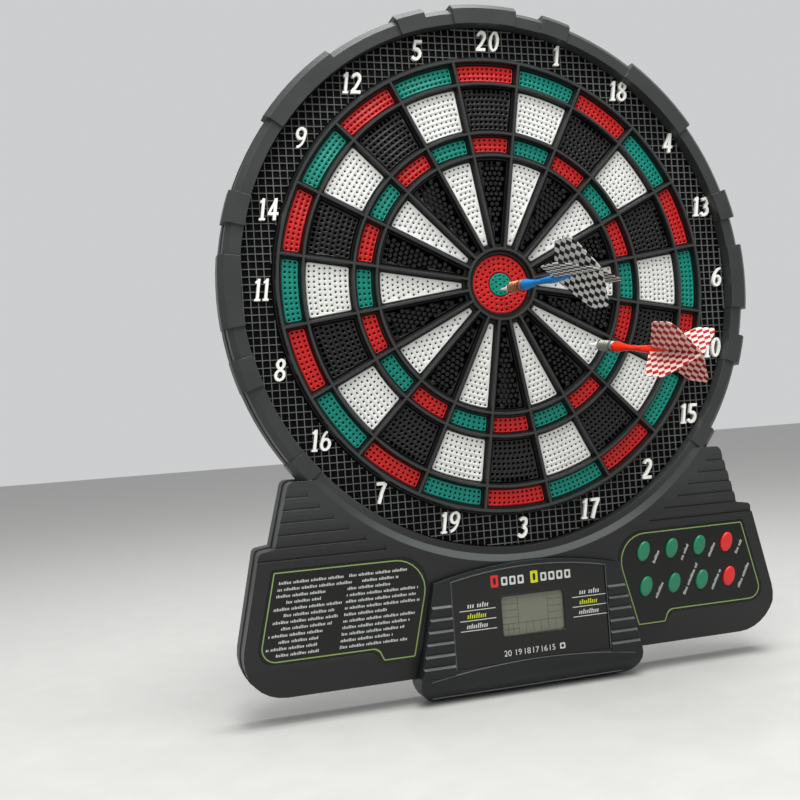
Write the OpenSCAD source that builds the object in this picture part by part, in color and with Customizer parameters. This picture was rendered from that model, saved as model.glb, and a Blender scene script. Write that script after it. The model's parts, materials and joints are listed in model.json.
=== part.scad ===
// Wall-hung electronic dartboard for soft-tip darts.
// Frame: the back plane is Y = 0 and the board faces -Y, X is to the right and Z is up.
// The origin lies on the back plane, straight behind the centre of the bull.
// Flat pieces are drawn as outlines in (x, z) and raised between two heights above the back plane.

/* [Target] */
// Outer radius of the double ring
double_r = 170; // [166:0.5:172]
// Width of the double ring
double_w = 12.5; // [9:0.5:13]
// Outer radius of the triple ring
triple_r = 114; // [110:0.5:116]
// Width of the triple ring
triple_w = 11.3; // [8:0.1:12]
// Radius where the inner singles begin
single_r = 31.5; // [30:0.5:34]
// Radius of the outer bull
outer_bull_r = 22.9; // [20:0.1:24]
// Radius of the inner bull
inner_bull_r = 8.8; // [7:0.1:10]
// Width of the spider's bars between neighbouring segments
bar_w = 5.86; // [5:0.1:7]
// Thickness of a segment
segment_t = 9; // [7:0.5:10]
// Distance that a hit segment travels
segment_travel = 1.2; // [0.6:0.1:1.3]
// Radius of the hole that takes a dart's tip
tip_hole_r = 1.4; // [1.3:0.05:1.6]

/* [Heights above the back plane] */
// Face of the segments
segment_h = 23.5; // [22:0.5:25]
// Face of the catch ring's plate
catch_h = 20.5; // [19:0.5:21]
// Face of the rim
rim_h = 30; // [28:0.5:31]
// Face of the console's wings
console_h = 32; // [31.5:0.5:34]
// Face of the display housing
display_h = 38.5; // [38:0.5:42]
// Parting line between the front and rear housings
parting_h = 14; // [12:0.5:15]

/* [Rim and console] */
// Inner radius of the rim's face
rim_in_r = 200.5; // [200:0.5:203]
// Outer radius of the plain stretches of rim
rim_out_r = 213; // [212:0.5:215]
// How far the raised blocks of the rim stand out
block_rise = 3.3; // [1:0.1:4]
// Distance from the bull's centre down to the console's lower edge
console_drop = 289; // [286:1:296]
// Distance from the bull's centre down to the display housing's lower edge
display_drop = 309; // [306:1:318]
// Wall thickness of the housings
wall = 2.4; // [1.8:0.1:2.6]

/* [Keys] */
// Half width of an oval key
key_a = 5.2; // [4.5:0.1:6]
// Half height of an oval key
key_b = 7.6; // [6.5:0.1:8]
// Distance between neighbouring keys in a row
key_pitch = 25; // [22:0.5:26]
// Key travel
key_travel = 1.2; // [0.5:0.1:1.3]

/* [Darts] */
// Droop of the dart in the bull, in degrees
blue_droop = 3; // [0:0.5:9]
// Droop of the dart in number 15, in degrees
red_droop = 8.5; // [0:0.5:9]
// Sideways lean of a stuck dart, in degrees
dart_lean = 6.5; // [0:0.5:7]
// Half span of a flight
flight_span = 27; // [16:1:28]
// Radius of a dart's barrel
barrel_r = 4.3; // [3:0.1:4.6]

/* [Hidden] */
NUMBERS = [20, 1, 18, 4, 13, 6, 10, 15, 2, 17, 3, 19, 7, 16, 8, 11, 14, 9, 12, 5];
KEYS = [1, 2, 3, 4, 5, 6, 7, 8];
$fn = 96;

sector = 360 / len(NUMBERS);
far = 500;               // longer than the whole object, for cutting shapes
eps = 0.01;              // overlap of cuts with the face that they leave
gap = 0.35;              // clearance between a segment and the spider
flange = 1;              // a segment's flange stands out this far behind the spider
flange_t = 1.2;
segment_back = segment_h - segment_t;
membrane_h = segment_back - segment_travel - 0.3;
membrane_t = 0.8;
foam_t = 3;
backing_t = 3;
foam_h = membrane_h - membrane_t;
backing_h = foam_h - foam_t;
spider_back = segment_back + flange_t + 0.3;
spider_top = segment_h + 1;
ridge_top = segment_h + 4;
ridge_w = 1.6;
spider_r = double_r + 6.3;
catch_in_r = spider_r + 0.2;
catch_out_r = rim_in_r - 0.3;
catch_t = 2.5;
numeral_r = (catch_in_r + catch_out_r) / 2;
numeral_size = 15.9;
numeral_narrow = 0.85;   // width of a digit against its height's unit
numeral_shift = [4.4, 1.2];   // the numbers sit this far right of and above their rays
rear_plate = 3;
rear_grow = 0.8;         // the rear housing stands out this far around the front one
lip_in_r = rim_in_r + 5.2;
lip_out_r = rim_in_r + 10;
rim_chamfer = 4.4;
screw_r = 1.5;
boss_r = 3.6;
boss_ring_r = (rim_in_r + rim_out_r) / 2;
screw_head_r = 3;
screw_tip_h = 24;
shelf_back = 22.4;       // the shelf that carries the display housing
shelf_top = 24.6;
shelf_window = [128, 65];
bezel_back = shelf_top + 0.2;
main_board_h = 27;

// Rings of the target from the bull outwards: [inner radius, outer radius, is a scoring ring]
RINGS = [
    [single_r, triple_r - triple_w - bar_w - 0.69, false],
    [triple_r - triple_w, triple_r, true],
    [triple_r + bar_w, double_r - double_w - bar_w + 0.5, false],
    [double_r - double_w, double_r, true]
];
// Radii of the spider's round ridges, midway between the rings
RIDGES = [
    (outer_bull_r + single_r) / 2, (RINGS[0][1] + RINGS[1][0]) / 2,
    (RINGS[1][1] + RINGS[2][0]) / 2, (RINGS[2][1] + RINGS[3][0]) / 2, double_r + 3.2
];
// Raised blocks of the rim: [clock angle of the middle, half angle]
BLOCKS = concat(
    [for (c = [0, 90, 270]) for (d = [-16.5, 0, 16.5]) [c + d, d == 0 ? 7.1 : 3.15]],
    [[45, 9.2], [315, 9.2], [128.2, 2.6], [231.8, 2.6]]
);
RIM_SCREWS = [for (i = [0:7]) 45 * (i + 0.5)];
LOW_SCREWS = [[-98, -277], [98, -277]];
SIDE_SCREWS = [[-204, -256], [204, -256]];

// ---------- outlines ----------

function unit(v) = v / norm(v);

// Points of the arc that rounds corner b of the path a-b-c with radius r
function corner(a, b, c, r, n = 8) =
    r <= 0 ? [b] :
    let (u = unit(a - b), v = unit(c - b))
    let (half = acos(u * v) / 2)
    let (mid = b + unit(u + v) * r / sin(half))
    let (from = b + u * r / tan(half) - mid, to = b + v * r / tan(half) - mid)
    let (a0 = atan2(from.y, from.x), a1 = atan2(to.y, to.x))
    let (turn = a1 - a0 > 180 ? a1 - a0 - 360 : a1 - a0 < -180 ? a1 - a0 + 360 : a1 - a0)
    [for (i = [0:n]) mid + r * [cos(a0 + turn * i / n), sin(a0 + turn * i / n)]];

// A polygon with rounded corners, from a list of [x, z, radius]
function rounded(p) =
    let (n = len(p), q = [for (v = p) [v.x, v.y]])
    [for (i = [0:n - 1]) each corner(q[(i + n - 1) % n], q[i], q[(i + 1) % n], p[i].z)];

// The same list of [x, z, radius] with every side of a clockwise outline moved outwards by d
function grown(p, d) =
    let (n = len(p), q = [for (v = p) [v.x, v.y]])
    let (side = [for (i = [0:n - 1]) unit(q[(i + 1) % n] - q[i])])
    let (out = [for (s = side) [-s.y, s.x]])
    [for (i = [0:n - 1])
        let (a = out[(i + n - 1) % n], b = out[i], v = q[i] + (a + b) * d / (1 + a * b))
        [v.x, v.y, max(0, p[i].z + d)]];

function oval(a, b, lean = 0, n = 40) =
    [for (i = [0:n - 1]) let (t = 360 * i / n) [a * cos(t) + lean * b * sin(t), b * sin(t)]];

// Position at radius r and clock angle a, measured clockwise from the top
function clock(r, a) = [r * sin(a), r * cos(a)];

function wing_points(g) = [
    [120, -137.5 + g, 0], [176.3 + g, -137.5 + g, 5], [188.6 + g, -183.8 + g, 0],
    [200.2 + g, -185.4 + g, 4], [223 + g, -console_drop - g, 30], [120, -console_drop - g, 0]
];
LABEL = [
    [190.8, -199.8, 1], [205.6, -262.5, 9], [119, -262.5, 6],
    [115.2, -271.3, 1.2], [91.6, -271.3, 1.2], [74.1, -200.3, 20]
];
label_margin = 1.6;
BEZEL = [[72.5, -205, 0], [94.5, -display_drop, 18], [-94.5, -display_drop, 18], [-72.5, -205, 0]];
arch_r = 310;
arch_top = -210.5;
panel_half = 62.5;
panel_bottom = -284.5;
lcd_at = [1.5, -250.2];
lcd_size = [51.5, 30.5];
RIB_Z = [for (i = [0:5]) -238.2 - 8.72 * i];
GROOVE_Z = [for (i = [0:5]) -148.9 - 8.66 * i];
groove_end_r = 220.5;
KEY_AT = [for (row = [0, 1]) for (i = [0:3]) [100.4 + key_pitch * i, -214.6 - 27.4 * row]];
key_lean = 0.24;
key_top = console_h + 2;
key_flange_h = console_h - wall - 0.3;
key_flange_t = 0.9;
mat_h = key_flange_h - key_flange_t - key_travel - 0.2;
mat_t = 1.1;
board_t = 1.6;
bay_x = -150;
bay_w = 48.8;
bay_z = [-270, -211];
bay_top = 17.6;
cell_r = 7.2;
cell_l = 50.5;
cell_h = 9.4;
door_w = 54.2;
door_top_z = -207;
door_bottom_z = -287.2;
speaker_at = [140, -235];
keyhole_at = [110, 157];
keyhole_r = 4.5;
keyhole_slot = 2.2;
blue_hole = [0, -3.9];       // place of the hole that holds the blue dart
red_hole = [-1.97, 86.2];    // the same for the red dart, as if its sector were the top one
red_sector = 7;

// ---------- building blocks ----------

// Raises a 2-D outline from height h0 to height h1 above the back plane
module plate(h0, h1) {
    rotate([90, 0, 0]) translate([0, 0, h0]) linear_extrude(h1 - h0) children();
}

// Turns a profile of [radius, height] points about the bull's axis
module turned(points, middle = 0, half = 180) {
    start = 90 - middle - half;
    rotate([90, 0, 0]) rotate([0, 0, start]) rotate_extrude(angle = 2 * half) polygon(points);
}

// Draws a profile of [height, z] points across the object from x0 to x1
module across(x0, x1, points) {
    translate([x0, 0, 0]) rotate([90, 0, 90]) linear_extrude(x1 - x0)
        polygon([for (p = points) [-p.x, p.y]]);
}

module ring(r0, r1) {
    difference() {
        circle(r1);
        circle(r0);
    }
}

// One cell of the target between radii r0 and r1, its sides set in from the sector's borders
module cell(r0, r1, inset) {
    apex = [0, inset / sin(sector / 2)];
    intersection() {
        ring(r0, r1);
        polygon([apex, apex + clock(far, sector / 2), apex + clock(far, -sector / 2)]);
    }
}

module both_sides() {
    children();
    mirror([1, 0, 0]) children();
}

module console_outline(g = 0) {
    both_sides() polygon(rounded(wing_points(g)));
    translate([-121, -console_drop - g]) square([242, 150]);
}

module bezel_outline(g = 0) {
    intersection() {
        polygon(rounded(grown(BEZEL, g)));
        translate([0, arch_top - arch_r]) circle(arch_r + g, $fn = 360);
    }
}

module panel_outline(g = 0) {
    intersection() {
        translate([-panel_half - g, panel_bottom - g]) square([2 * (panel_half + g), 80]);
        translate([0, arch_top - arch_r]) circle(arch_r - 3.6 + g, $fn = 360);
    }
}

module label_outline(g = 0) {
    polygon(rounded(grown(LABEL, label_margin + g)));
}

module keys_outline(g = 0) {
    for (p = KEY_AT) translate(p) polygon(oval(key_a + g, key_b + g, key_lean));
}

module at_screws() {
    for (a = RIM_SCREWS) translate(clock(boss_ring_r, a)) children();
    for (p = concat(LOW_SCREWS, SIDE_SCREWS)) translate(p) children();
}

// ---------- housings ----------

// Section of the rim's hollow ring, as [radius, height] points
RIM_SECTION = [
    [rim_in_r, parting_h + 2], [rim_in_r, rim_h], [rim_out_r - rim_chamfer, rim_h],
    [rim_out_r, rim_h - rim_chamfer], [rim_out_r, parting_h], [rim_out_r - wall, parting_h],
    [rim_out_r - wall, rim_h - rim_chamfer - 1.2], [rim_out_r - rim_chamfer - 1, rim_h - wall],
    [rim_in_r + wall, rim_h - wall], [rim_in_r + wall, parting_h + 2]
];
// Section of a raised block: a sleeve around the rim whose inner side lies inside the rim's wall
block_h = rim_h + block_rise / 2;
block_r = rim_out_r + block_rise;
BLOCK_SECTION = [
    [rim_in_r - 0.3, catch_h + 2], [rim_in_r - 0.3, block_h], [block_r - rim_chamfer, block_h],
    [block_r, block_h - rim_chamfer], [block_r, parting_h + 1],
    [rim_out_r - wall / 2, parting_h + 1], [rim_out_r - wall / 2, rim_h - rim_chamfer - 0.6],
    [rim_out_r - rim_chamfer - 0.5, rim_h - wall / 2], [rim_in_r + wall / 2, rim_h - wall / 2],
    [rim_in_r + wall / 2, catch_h + 2]
];

module console_shell() {
    bevel = 24;
    difference() {
        intersection() {
            plate(parting_h, console_h) console_outline();
            across(-far, far, [
                [parting_h, -100], [console_h, -100], [console_h, bevel - console_drop - 2],
                [console_h - 5.5, -console_drop], [parting_h, -console_drop - 1]
            ]);
        }
        intersection() {
            plate(parting_h - eps, console_h - wall) console_outline(-wall);
            across(-far, far, [
                [parting_h - 1, -90], [console_h - wall, -90], [console_h - wall, bevel - console_drop - 2],
                [console_h - 5.5 - wall, -console_drop + wall], [parting_h - 1, -console_drop + wall]
            ]);
        }
        // the board's opening, with the sloping lip that climbs from the rim to the console
        plate(parting_h - 1, console_h + 1) circle(rim_out_r - 1);
    }
    // the strip of console face between the lip and the rim's outer wall
    intersection() {
        difference() {
            plate(rim_h - wall, console_h) console_outline();
            plate(0, console_h + 1) circle(lip_in_r);
            rotate([90, 0, 0]) translate([0, 0, rim_h])
                cylinder(h = console_h - rim_h + eps, r1 = lip_in_r, r2 = lip_out_r);
        }
        plate(0, far) circle(rim_out_r + 1);
    }
}

module louvre_cuts() {
    for (z = GROOVE_Z)
        both_sides()
            across(sqrt(groove_end_r * groove_end_r - z * z), 240, [
                [console_h - 1.5, z], [console_h + 1, z], [console_h + 1, z + 5], [console_h, z + 5]
            ]);
}

module front_housing() {
    color([0.16, 0.17, 0.17])
    difference() {
        union() {
            turned(RIM_SECTION);
            for (b = BLOCKS) turned(BLOCK_SECTION, b[0], b[1]);
            turned([
                [rim_in_r - 5, parting_h + 2], [rim_in_r - 5, catch_h - catch_t],
                [rim_in_r + wall, catch_h - catch_t], [rim_in_r + wall, parting_h + 2]
            ]);
            console_shell();
            plate(parting_h, rim_h - wall + 0.5) at_screws() circle(boss_r);
            plate(parting_h, console_h - wall + 0.5) for (p = SIDE_SCREWS) translate(p) circle(boss_r);
            // shelf that carries the display housing
            plate(shelf_back, shelf_top) difference() {
                translate([-92, -console_drop + 1]) square([184, 78]);
                translate([-shelf_window.x / 2, -284]) square(shelf_window);
                circle(rim_out_r - 1);
            }
        }
        plate(parting_h - 1, 26) at_screws() circle(screw_r - 0.1);
        plate(shelf_top, display_h + 5) bezel_outline(0.3);
        plate(console_h - 0.6, console_h + 1) both_sides() label_outline(0.3);
        plate(console_h - wall - 1, console_h + 1) keys_outline(0.35);
        louvre_cuts();
    }
}

module keyhole() {
    circle(keyhole_r);
    translate([-keyhole_slot, 0]) square([2 * keyhole_slot, 10]);
    translate([0, 10]) circle(keyhole_slot);
}

module rear_outline(g) {
    circle(rim_out_r + g);
    console_outline(g);
}

module battery_bay(g, h0, h1) {
    plate(h0, h1) translate([bay_x - bay_w / 2 - g, bay_z[0] - g])
        square([bay_w + 2 * g, bay_z[1] - bay_z[0] + 2 * g]);
}

module rear_housing() {
    color([0.14, 0.15, 0.15])
    difference() {
        union() {
            plate(0, rear_plate) rear_outline(rear_grow);
            plate(0, parting_h) difference() {
                rear_outline(rear_grow);
                rear_outline(rear_grow - wall);
            }
            for (r = [30, 90, 168]) plate(rear_plate - eps, backing_h - backing_t) ring(r - 3, r);
            battery_bay(1.6, 0, bay_top + 1.6);
            plate(0, parting_h) at_screws() circle(boss_r + 0.3);
        }
        battery_bay(0, -1, bay_top);
        plate(-1, parting_h + 1) at_screws() circle(screw_r + 0.3);
        plate(-1, 1.7) at_screws() circle(screw_head_r + 0.3);
        plate(-1, rear_plate + 1) both_sides() translate(keyhole_at) keyhole();
        // the battery door's slot: the narrow mouth at the back and the wider groove for its tongues
        plate(-1, 0.9) translate([bay_x - door_w / 2 - 0.3, -far])
            square([door_w + 0.6, far + door_top_z + 0.3]);
        plate(0.9, 1.9) translate([bay_x - door_w / 2 - 1.8, -far])
            square([door_w + 3.6, far + door_top_z + 0.3]);
        for (i = [-3:3]) plate(-1, rear_plate + 1)
            translate(speaker_at + [-1.5 + 6 * i, -14 + abs(i)]) square([3, 28 - 2 * abs(i)]);
    }
}

module battery_door() {
    color([0.14, 0.15, 0.15]) {
        plate(0.1, 1.7) translate([bay_x - door_w / 2, door_bottom_z])
            square([door_w, door_top_z - door_bottom_z]);
        plate(1.1, 1.7) translate([bay_x - door_w / 2 - 1.5, door_bottom_z])
            square([door_w + 3, door_top_z - door_bottom_z]);
    }
}

module housing_screws() {
    color([0.55, 0.56, 0.58]) {
        plate(0.2, 1.6) at_screws() circle(screw_head_r);
        plate(1.5, screw_tip_h) at_screws() circle(screw_r);
    }
}

// ---------- target ----------

module catch_ring() {
    color([0.05, 0.05, 0.05])
    plate(catch_h - catch_t, catch_h) ring(catch_in_r, catch_out_r);
}

module spider() {
    color([0.2, 0.21, 0.21]) {
        plate(spider_back, spider_top) difference() {
            circle(spider_r);
            circle(outer_bull_r + gap);
            for (i = [0:len(NUMBERS) - 1]) rotate(-sector * i)
                for (r = RINGS) cell(r[0] - gap, r[1] + gap, bar_w / 2 - gap);
        }
        plate(spider_top - eps, ridge_top) {
            for (r = RIDGES) ring(r - ridge_w / 2, r + ridge_w / 2);
            for (i = [0:len(NUMBERS) - 1]) rotate(-sector * (i + 0.5))
                translate([-ridge_w / 2, RIDGES[0]]) square([ridge_w, RIDGES[4] - RIDGES[0]]);
        }
        plate(membrane_h, spider_back + eps) ring(spider_r - 2.2, spider_r);
    }
}

module number_segments(i) {
    dark = i % 2 == 0;
    for (r = RINGS)
        color(r[2] ? (dark ? [0.67, 0.15, 0.15] : [0.1, 0.47, 0.42]) : (dark ? [0.1, 0.1, 0.1] : [0.8, 0.8, 0.78]))
        difference() {
            union() {
                plate(segment_back, segment_h) rotate(-sector * i) cell(r[0], r[1], bar_w / 2);
                plate(segment_back, segment_back + flange_t) rotate(-sector * i)
                    cell(r[0] - flange, r[1] + flange, bar_w / 2 - flange);
            }
            if (i == red_sector && r == RINGS[0])
                plate(0, far) rotate(-sector * i) translate(red_hole) circle(tip_hole_r);
        }
}

module outer_bull() {
    color([0.75, 0.16, 0.14]) {
        plate(segment_back, segment_h) ring(inner_bull_r + 0.7, outer_bull_r);
        plate(segment_back, segment_back + flange_t) ring(outer_bull_r - eps, outer_bull_r + flange);
    }
}

module inner_bull() {
    color([0.1, 0.47, 0.42])
    plate(segment_back, segment_h) difference() {
        circle(inner_bull_r);
        circle(tip_hole_r);
        translate(blue_hole) circle(tip_hole_r);
    }
}

// ---------- numerals ----------

// Points of an elliptical arc about c, between the angles a0 and a1
function arc(c, rx, ry, a0, a1, n = 14) =
    [for (i = [0:n]) let (t = a0 + (a1 - a0) * i / n) c + [rx * cos(t), ry * sin(t)]];

function slanted(points) = [for (p = points) numeral_size * [numeral_narrow * p.x + 0.16 * p.y, p.y]];

// A pen stroke of width w along a path
module stroke(path, w) {
    n = len(path) - 1;
    along = [for (i = [0:n]) unit(path[min(i + 1, n)] - path[max(i - 1, 0)])];
    side = [for (t = along) [-t.y, t.x] * w / 2];
    polygon(slanted(concat(
        [for (i = [0:n]) path[i] + side[i]],
        [for (i = [n:-1:0]) path[i] - side[i]]
    )));
}

// A closed loop drawn with the pen: heavier at its sides than at its top and bottom
module loop(c, rx, ry) {
    difference() {
        polygon(slanted(arc(c, rx, ry, 0, 350, 35)));
        polygon(slanted(arc(c, rx - 0.155, ry - 0.12, 0, 350, 35)));
    }
}

module digit(n) {
    pen = 0.16;
    if (n == 0) loop([0.3, 0.5], 0.3, 0.5);
    if (n == 1) {
        stroke([[0.27, 0.02], [0.27, 1]], pen);
        stroke([[0.1, 0.82], [0.3, 0.95]], pen - 0.04);
        stroke([[0.11, 0.05], [0.43, 0.05]], 0.1);
    }
    if (n == 2) {
        stroke(arc([0.27, 0.71], 0.21, 0.22, 165, -35), pen);
        stroke([[0.455, 0.61], [0.3, 0.33], [0.08, 0.1]], pen);
        stroke([[0.02, 0.075], [0.58, 0.075]], 0.15);
    }
    if (n == 3) {
        stroke(arc([0.26, 0.74], 0.2, 0.19, 150, -80), pen);
        stroke(arc([0.25, 0.29], 0.24, 0.22, 85, -150), pen);
    }
    if (n == 4) {
        stroke([[0.06, 0.32], [0.4, 0.96]], pen - 0.03);
        stroke([[0.0, 0.3], [0.58, 0.3]], pen - 0.03);
        stroke([[0.38, 0], [0.38, 1]], pen + 0.02);
    }
    if (n == 5) {
        stroke([[0.1, 0.92], [0.54, 0.92]], 0.15);
        stroke([[0.15, 0.98], [0.12, 0.52]], pen - 0.02);
        stroke(arc([0.25, 0.31], 0.24, 0.24, 115, -150), pen);
    }
    if (n == 6) {
        loop([0.3, 0.3], 0.3, 0.3);
        stroke(arc([0.52, 0.3], 0.44, 0.63, 92, 180), pen - 0.04);
    }
    if (n == 7) {
        stroke([[0.02, 0.92], [0.58, 0.92]], 0.15);
        stroke([[0.52, 0.93], [0.36, 0.55], [0.24, 0]], pen + 0.01);
    }
    if (n == 8) {
        loop([0.3, 0.27], 0.3, 0.28);
        loop([0.3, 0.76], 0.255, 0.25);
    }
    if (n == 9) translate(numeral_size * [0.6 * numeral_narrow + 0.16, 1]) rotate(180) digit(6);
}

// Left edge and width of a digit, in units of its height before it is narrowed
function digit_start(n) = n == 1 ? 0.1 : 0;
function digit_width(n) = n == 1 ? 0.33 : 0.6;

module number(n) {
    em = numeral_size * numeral_narrow;
    tens = floor(n / 10);
    units = n % 10;
    first = tens > 0 ? digit_width(tens) + (tens == 1 ? 0.12 : 0.17) : 0;
    width = em * (first + digit_width(units)) + 0.16 * numeral_size;
    translate([-width / 2, -numeral_size / 2]) {
        if (tens > 0) translate([-em * digit_start(tens), 0]) digit(tens);
        translate([em * (first - digit_start(units)), 0]) digit(units);
    }
}

module numerals() {
    color([0.93, 0.93, 0.91])
    plate(catch_h, catch_h + 2.9) intersection() {
        ring(catch_in_r + 0.3, catch_out_r - 0.3);
        for (i = [0:len(NUMBERS) - 1])
            translate(clock(numeral_r, sector * i) + numeral_shift) number(NUMBERS[i]);
    }
}

// ---------- console ----------

module games_label() {
    color([0.1, 0.11, 0.1])
    mirror([1, 0, 0]) plate(console_h - 0.6, console_h - 0.05) label_outline();
}

module keypad_label() {
    color([0.1, 0.11, 0.1])
    plate(console_h - 0.6, console_h - 0.05) difference() {
        label_outline();
        keys_outline(0.35);
    }
}

module display_bezel() {
    chin_back = parting_h + 0.4;
    chin_top = -console_drop - rear_grow - 0.3;
    chin_drop = display_drop + panel_bottom - 2.5;
    chin = [for (i = [0:8]) let (t = 90 * i / 8)
        [chin_back + 2 + (display_h - chin_back - 2) * cos(t), panel_bottom - 2.5 - chin_drop * sin(t)]];
    color([0.15, 0.16, 0.17])
    difference() {
        union() {
            intersection() {
                plate(chin_back, display_h) bezel_outline();
                across(-far, far, concat(
                    [[bezel_back, -200], [display_h - 3, -200], [display_h, arch_top - 10]], chin,
                    [[chin_back, -display_drop], [chin_back, chin_top], [bezel_back, chin_top]]
                ));
            }
            plate(display_h - eps, display_h + 1.2) difference() {
                intersection() {
                    bezel_outline(-0.6);
                    for (z = RIB_Z) translate([-100, z - 1]) square([200, 2]);
                }
                translate([-panel_half - 1.2, -far]) square([2 * panel_half + 2.4, far]);
            }
        }
        plate(bezel_back - 1, display_h - wall) intersection() {
            bezel_outline(-wall);
            translate([-100, panel_bottom - 0.5]) square([200, 100]);
        }
        plate(chin_back - 1, 30) intersection() {
            bezel_outline(-wall);
            translate([-100, -display_drop + wall + 1]) square([200, display_drop - wall - 2 + chin_top - 1]);
        }
        plate(display_h - wall - 1, display_h + 1) panel_outline();
    }
}

module display_panel() {
    color([0.09, 0.1, 0.09])
    plate(display_h - 3, display_h - 1) difference() {
        panel_outline(-0.2);
        translate(lcd_at - lcd_size / 2) square(lcd_size);
    }
}

module lcd_module() {
    color([0.5, 0.52, 0.45])
    plate(display_h - 6.3, display_h - 3.1)
        translate(lcd_at - lcd_size / 2 - [3, 3]) square(lcd_size + [6, 6]);
}

module key(k) {
    color(k % 4 == 0 ? [0.72, 0.15, 0.14] : [0.08, 0.48, 0.35])
    translate([KEY_AT[k - 1].x, 0, KEY_AT[k - 1].y]) {
        plate(key_flange_h - key_flange_t, key_top) polygon(oval(key_a, key_b, key_lean));
        plate(key_flange_h - key_flange_t, key_flange_h) polygon(oval(key_a + 1.2, key_b + 1.2, key_lean));
    }
}

module keypad_mat() {
    color([0.6, 0.6, 0.58])
    plate(mat_h - mat_t, mat_h) translate([90, -256]) square([98, 54]);
}

module key_board() {
    color([0.12, 0.36, 0.2])
    plate(mat_h - mat_t - board_t, mat_h - mat_t) translate([92.6, -258]) square([96.4, 58]);
}

module main_board() {
    color([0.12, 0.36, 0.2])
    plate(main_board_h, main_board_h + board_t) translate([-55, -282]) square([110, 60]);
}

// ---------- inside the board ----------

module sensor_membrane() {
    color([0.75, 0.72, 0.6])
    plate(membrane_h - membrane_t, membrane_h) circle(spider_r);
}

module damping_foam() {
    color([0.25, 0.25, 0.27])
    plate(backing_h, foam_h) circle(spider_r);
}

module backing_plate() {
    color([0.5, 0.38, 0.26])
    plate(backing_h - backing_t, backing_h) circle(spider_r);
}

module ribbon_cable() {
    top = membrane_h - membrane_t;
    color([0.8, 0.78, 0.7])
    across(-15, 15, [
        [top - 0.4, -spider_r + 4 - 5], [top, -spider_r - 1], [top, -225], [main_board_h, -228],
        [main_board_h, -228.5], [top - 0.4, -225.4]
    ]);
}

module speaker() {
    color([0.2, 0.2, 0.2]) {
        plate(rear_plate, 12) translate(speaker_at) circle(20);
        plate(12 - eps, 19) translate(speaker_at) circle(10);
    }
}

module batteries() {
    color([0.75, 0.55, 0.2])
    for (i = [-1:1]) translate([bay_x + 15 * i, -cell_h, (bay_z[0] + bay_z[1] - cell_l) / 2]) {
        cylinder(h = cell_l - 1, r = cell_r);
        translate([0, 0, cell_l - 1 - eps]) cylinder(h = 1 + eps, r = 2.7);
    }
}

module battery_contacts() {
    color([0.75, 0.75, 0.72])
    for (i = [-1:1]) {
        plate(cell_h - 5, cell_h + 5) for (z = [bay_z[0], bay_z[1] - 0.5])
            translate([bay_x + 15 * i - 5, z]) square([10, 0.5]);
        translate([bay_x + 15 * i, -cell_h, bay_z[0] + 0.5 - eps]) cylinder(h = 3.6, r = 3);
    }
}

// ---------- darts ----------

insert_depth = 6;        // how far the tip reaches into the board
face_at = insert_depth / 2;
barrel_at = face_at + 14;
shaft_at = barrel_at + 20.5;
flight_at = shaft_at + 43;
tail_at = flight_at + 57;
thread_r = 1.2;
thread_l = 6;
film_t = 0.5;
blue_folds = [120, 166]; // directions of a flight's two sheets about the dart's axis
red_folds = [127, 35];

// Sets a dart that is built along +Z, with the board's face at face_at, into its hole
module stuck(hole, droop) {
    translate([hole.x, -segment_h + face_at, hole.y])
        rotate([droop, 0, dart_lean]) rotate([90, 0, 0]) children();
}

module dart_tip() {
    rotate_extrude() polygon([
        [0, -face_at], [0.4, -face_at], [0.7, -face_at + 1.2], [0.7, face_at], [1.6, barrel_at - 3],
        [2.4, barrel_at - 3], [2.4, barrel_at - 0.05], [thread_r, barrel_at - 0.05],
        [thread_r, barrel_at + thread_l], [0, barrel_at + thread_l]
    ]);
}

module dart_barrel() {
    groove_r = barrel_r - 0.3;
    rings = [for (i = [0:4]) barrel_at + 4.5 + 2.5 * i];
    rotate_extrude() polygon(concat(
        [[thread_r + 0.05, barrel_at], [2.6, barrel_at], [barrel_r, barrel_at + 2.5]],
        [for (z = rings) each [[barrel_r, z], [groove_r, z + 0.3], [groove_r, z + 0.8], [barrel_r, z + 1.1]]],
        [[barrel_r, shaft_at - 1.5], [barrel_r - 0.6, shaft_at], [thread_r + 0.05, shaft_at]]
    ));
}

module dart_shaft(folds) {
    difference() {
        rotate_extrude() polygon([
            [0, shaft_at - thread_l], [thread_r, shaft_at - thread_l], [thread_r, shaft_at + 0.05],
            [3.4, shaft_at + 0.05], [4.1, shaft_at + 1.3], [4.2, shaft_at + 4], [3.2, shaft_at + 9],
            [2.2, shaft_at + 16], [2.1, shaft_at + 26], [2.8, shaft_at + 37], [3.1, flight_at],
            [1.3, flight_at + 20], [0, flight_at + 20]
        ]);
        for (a = folds) rotate(a) translate([-5, -film_t / 2 - 0.1, flight_at - 1])
            cube([10, film_t + 0.2, 24]);
    }
}

module dart_flight(folds) {
    vane = [
        [0, flight_at], [flight_span - 4, flight_at + 20], [flight_span, flight_at + 25],
        [flight_span, flight_at + 41], [flight_span - 3, flight_at + 45], [0, tail_at]
    ];
    for (a = folds) rotate([90, 0, a]) translate([0, 0, -film_t / 2]) linear_extrude(film_t)
        polygon(concat(vane, [for (i = [len(vane) - 2:-1:1]) [-vane[i].x, vane[i].y]]));
}

red_at = [
    red_hole.x * cos(sector * red_sector) + red_hole.y * sin(sector * red_sector),
    -red_hole.x * sin(sector * red_sector) + red_hole.y * cos(sector * red_sector)
];

module dart(name, hole, droop, folds, metal, plastic, sheet) {
    color([0.88, 0.88, 0.86]) stuck(hole, droop) dart_tip();
    color(metal) stuck(hole, droop) dart_barrel();
    color(plastic) stuck(hole, droop) dart_shaft(folds);
    color(sheet) stuck(hole, droop) dart_flight(folds);
}

// ---------- nodes ----------

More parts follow.
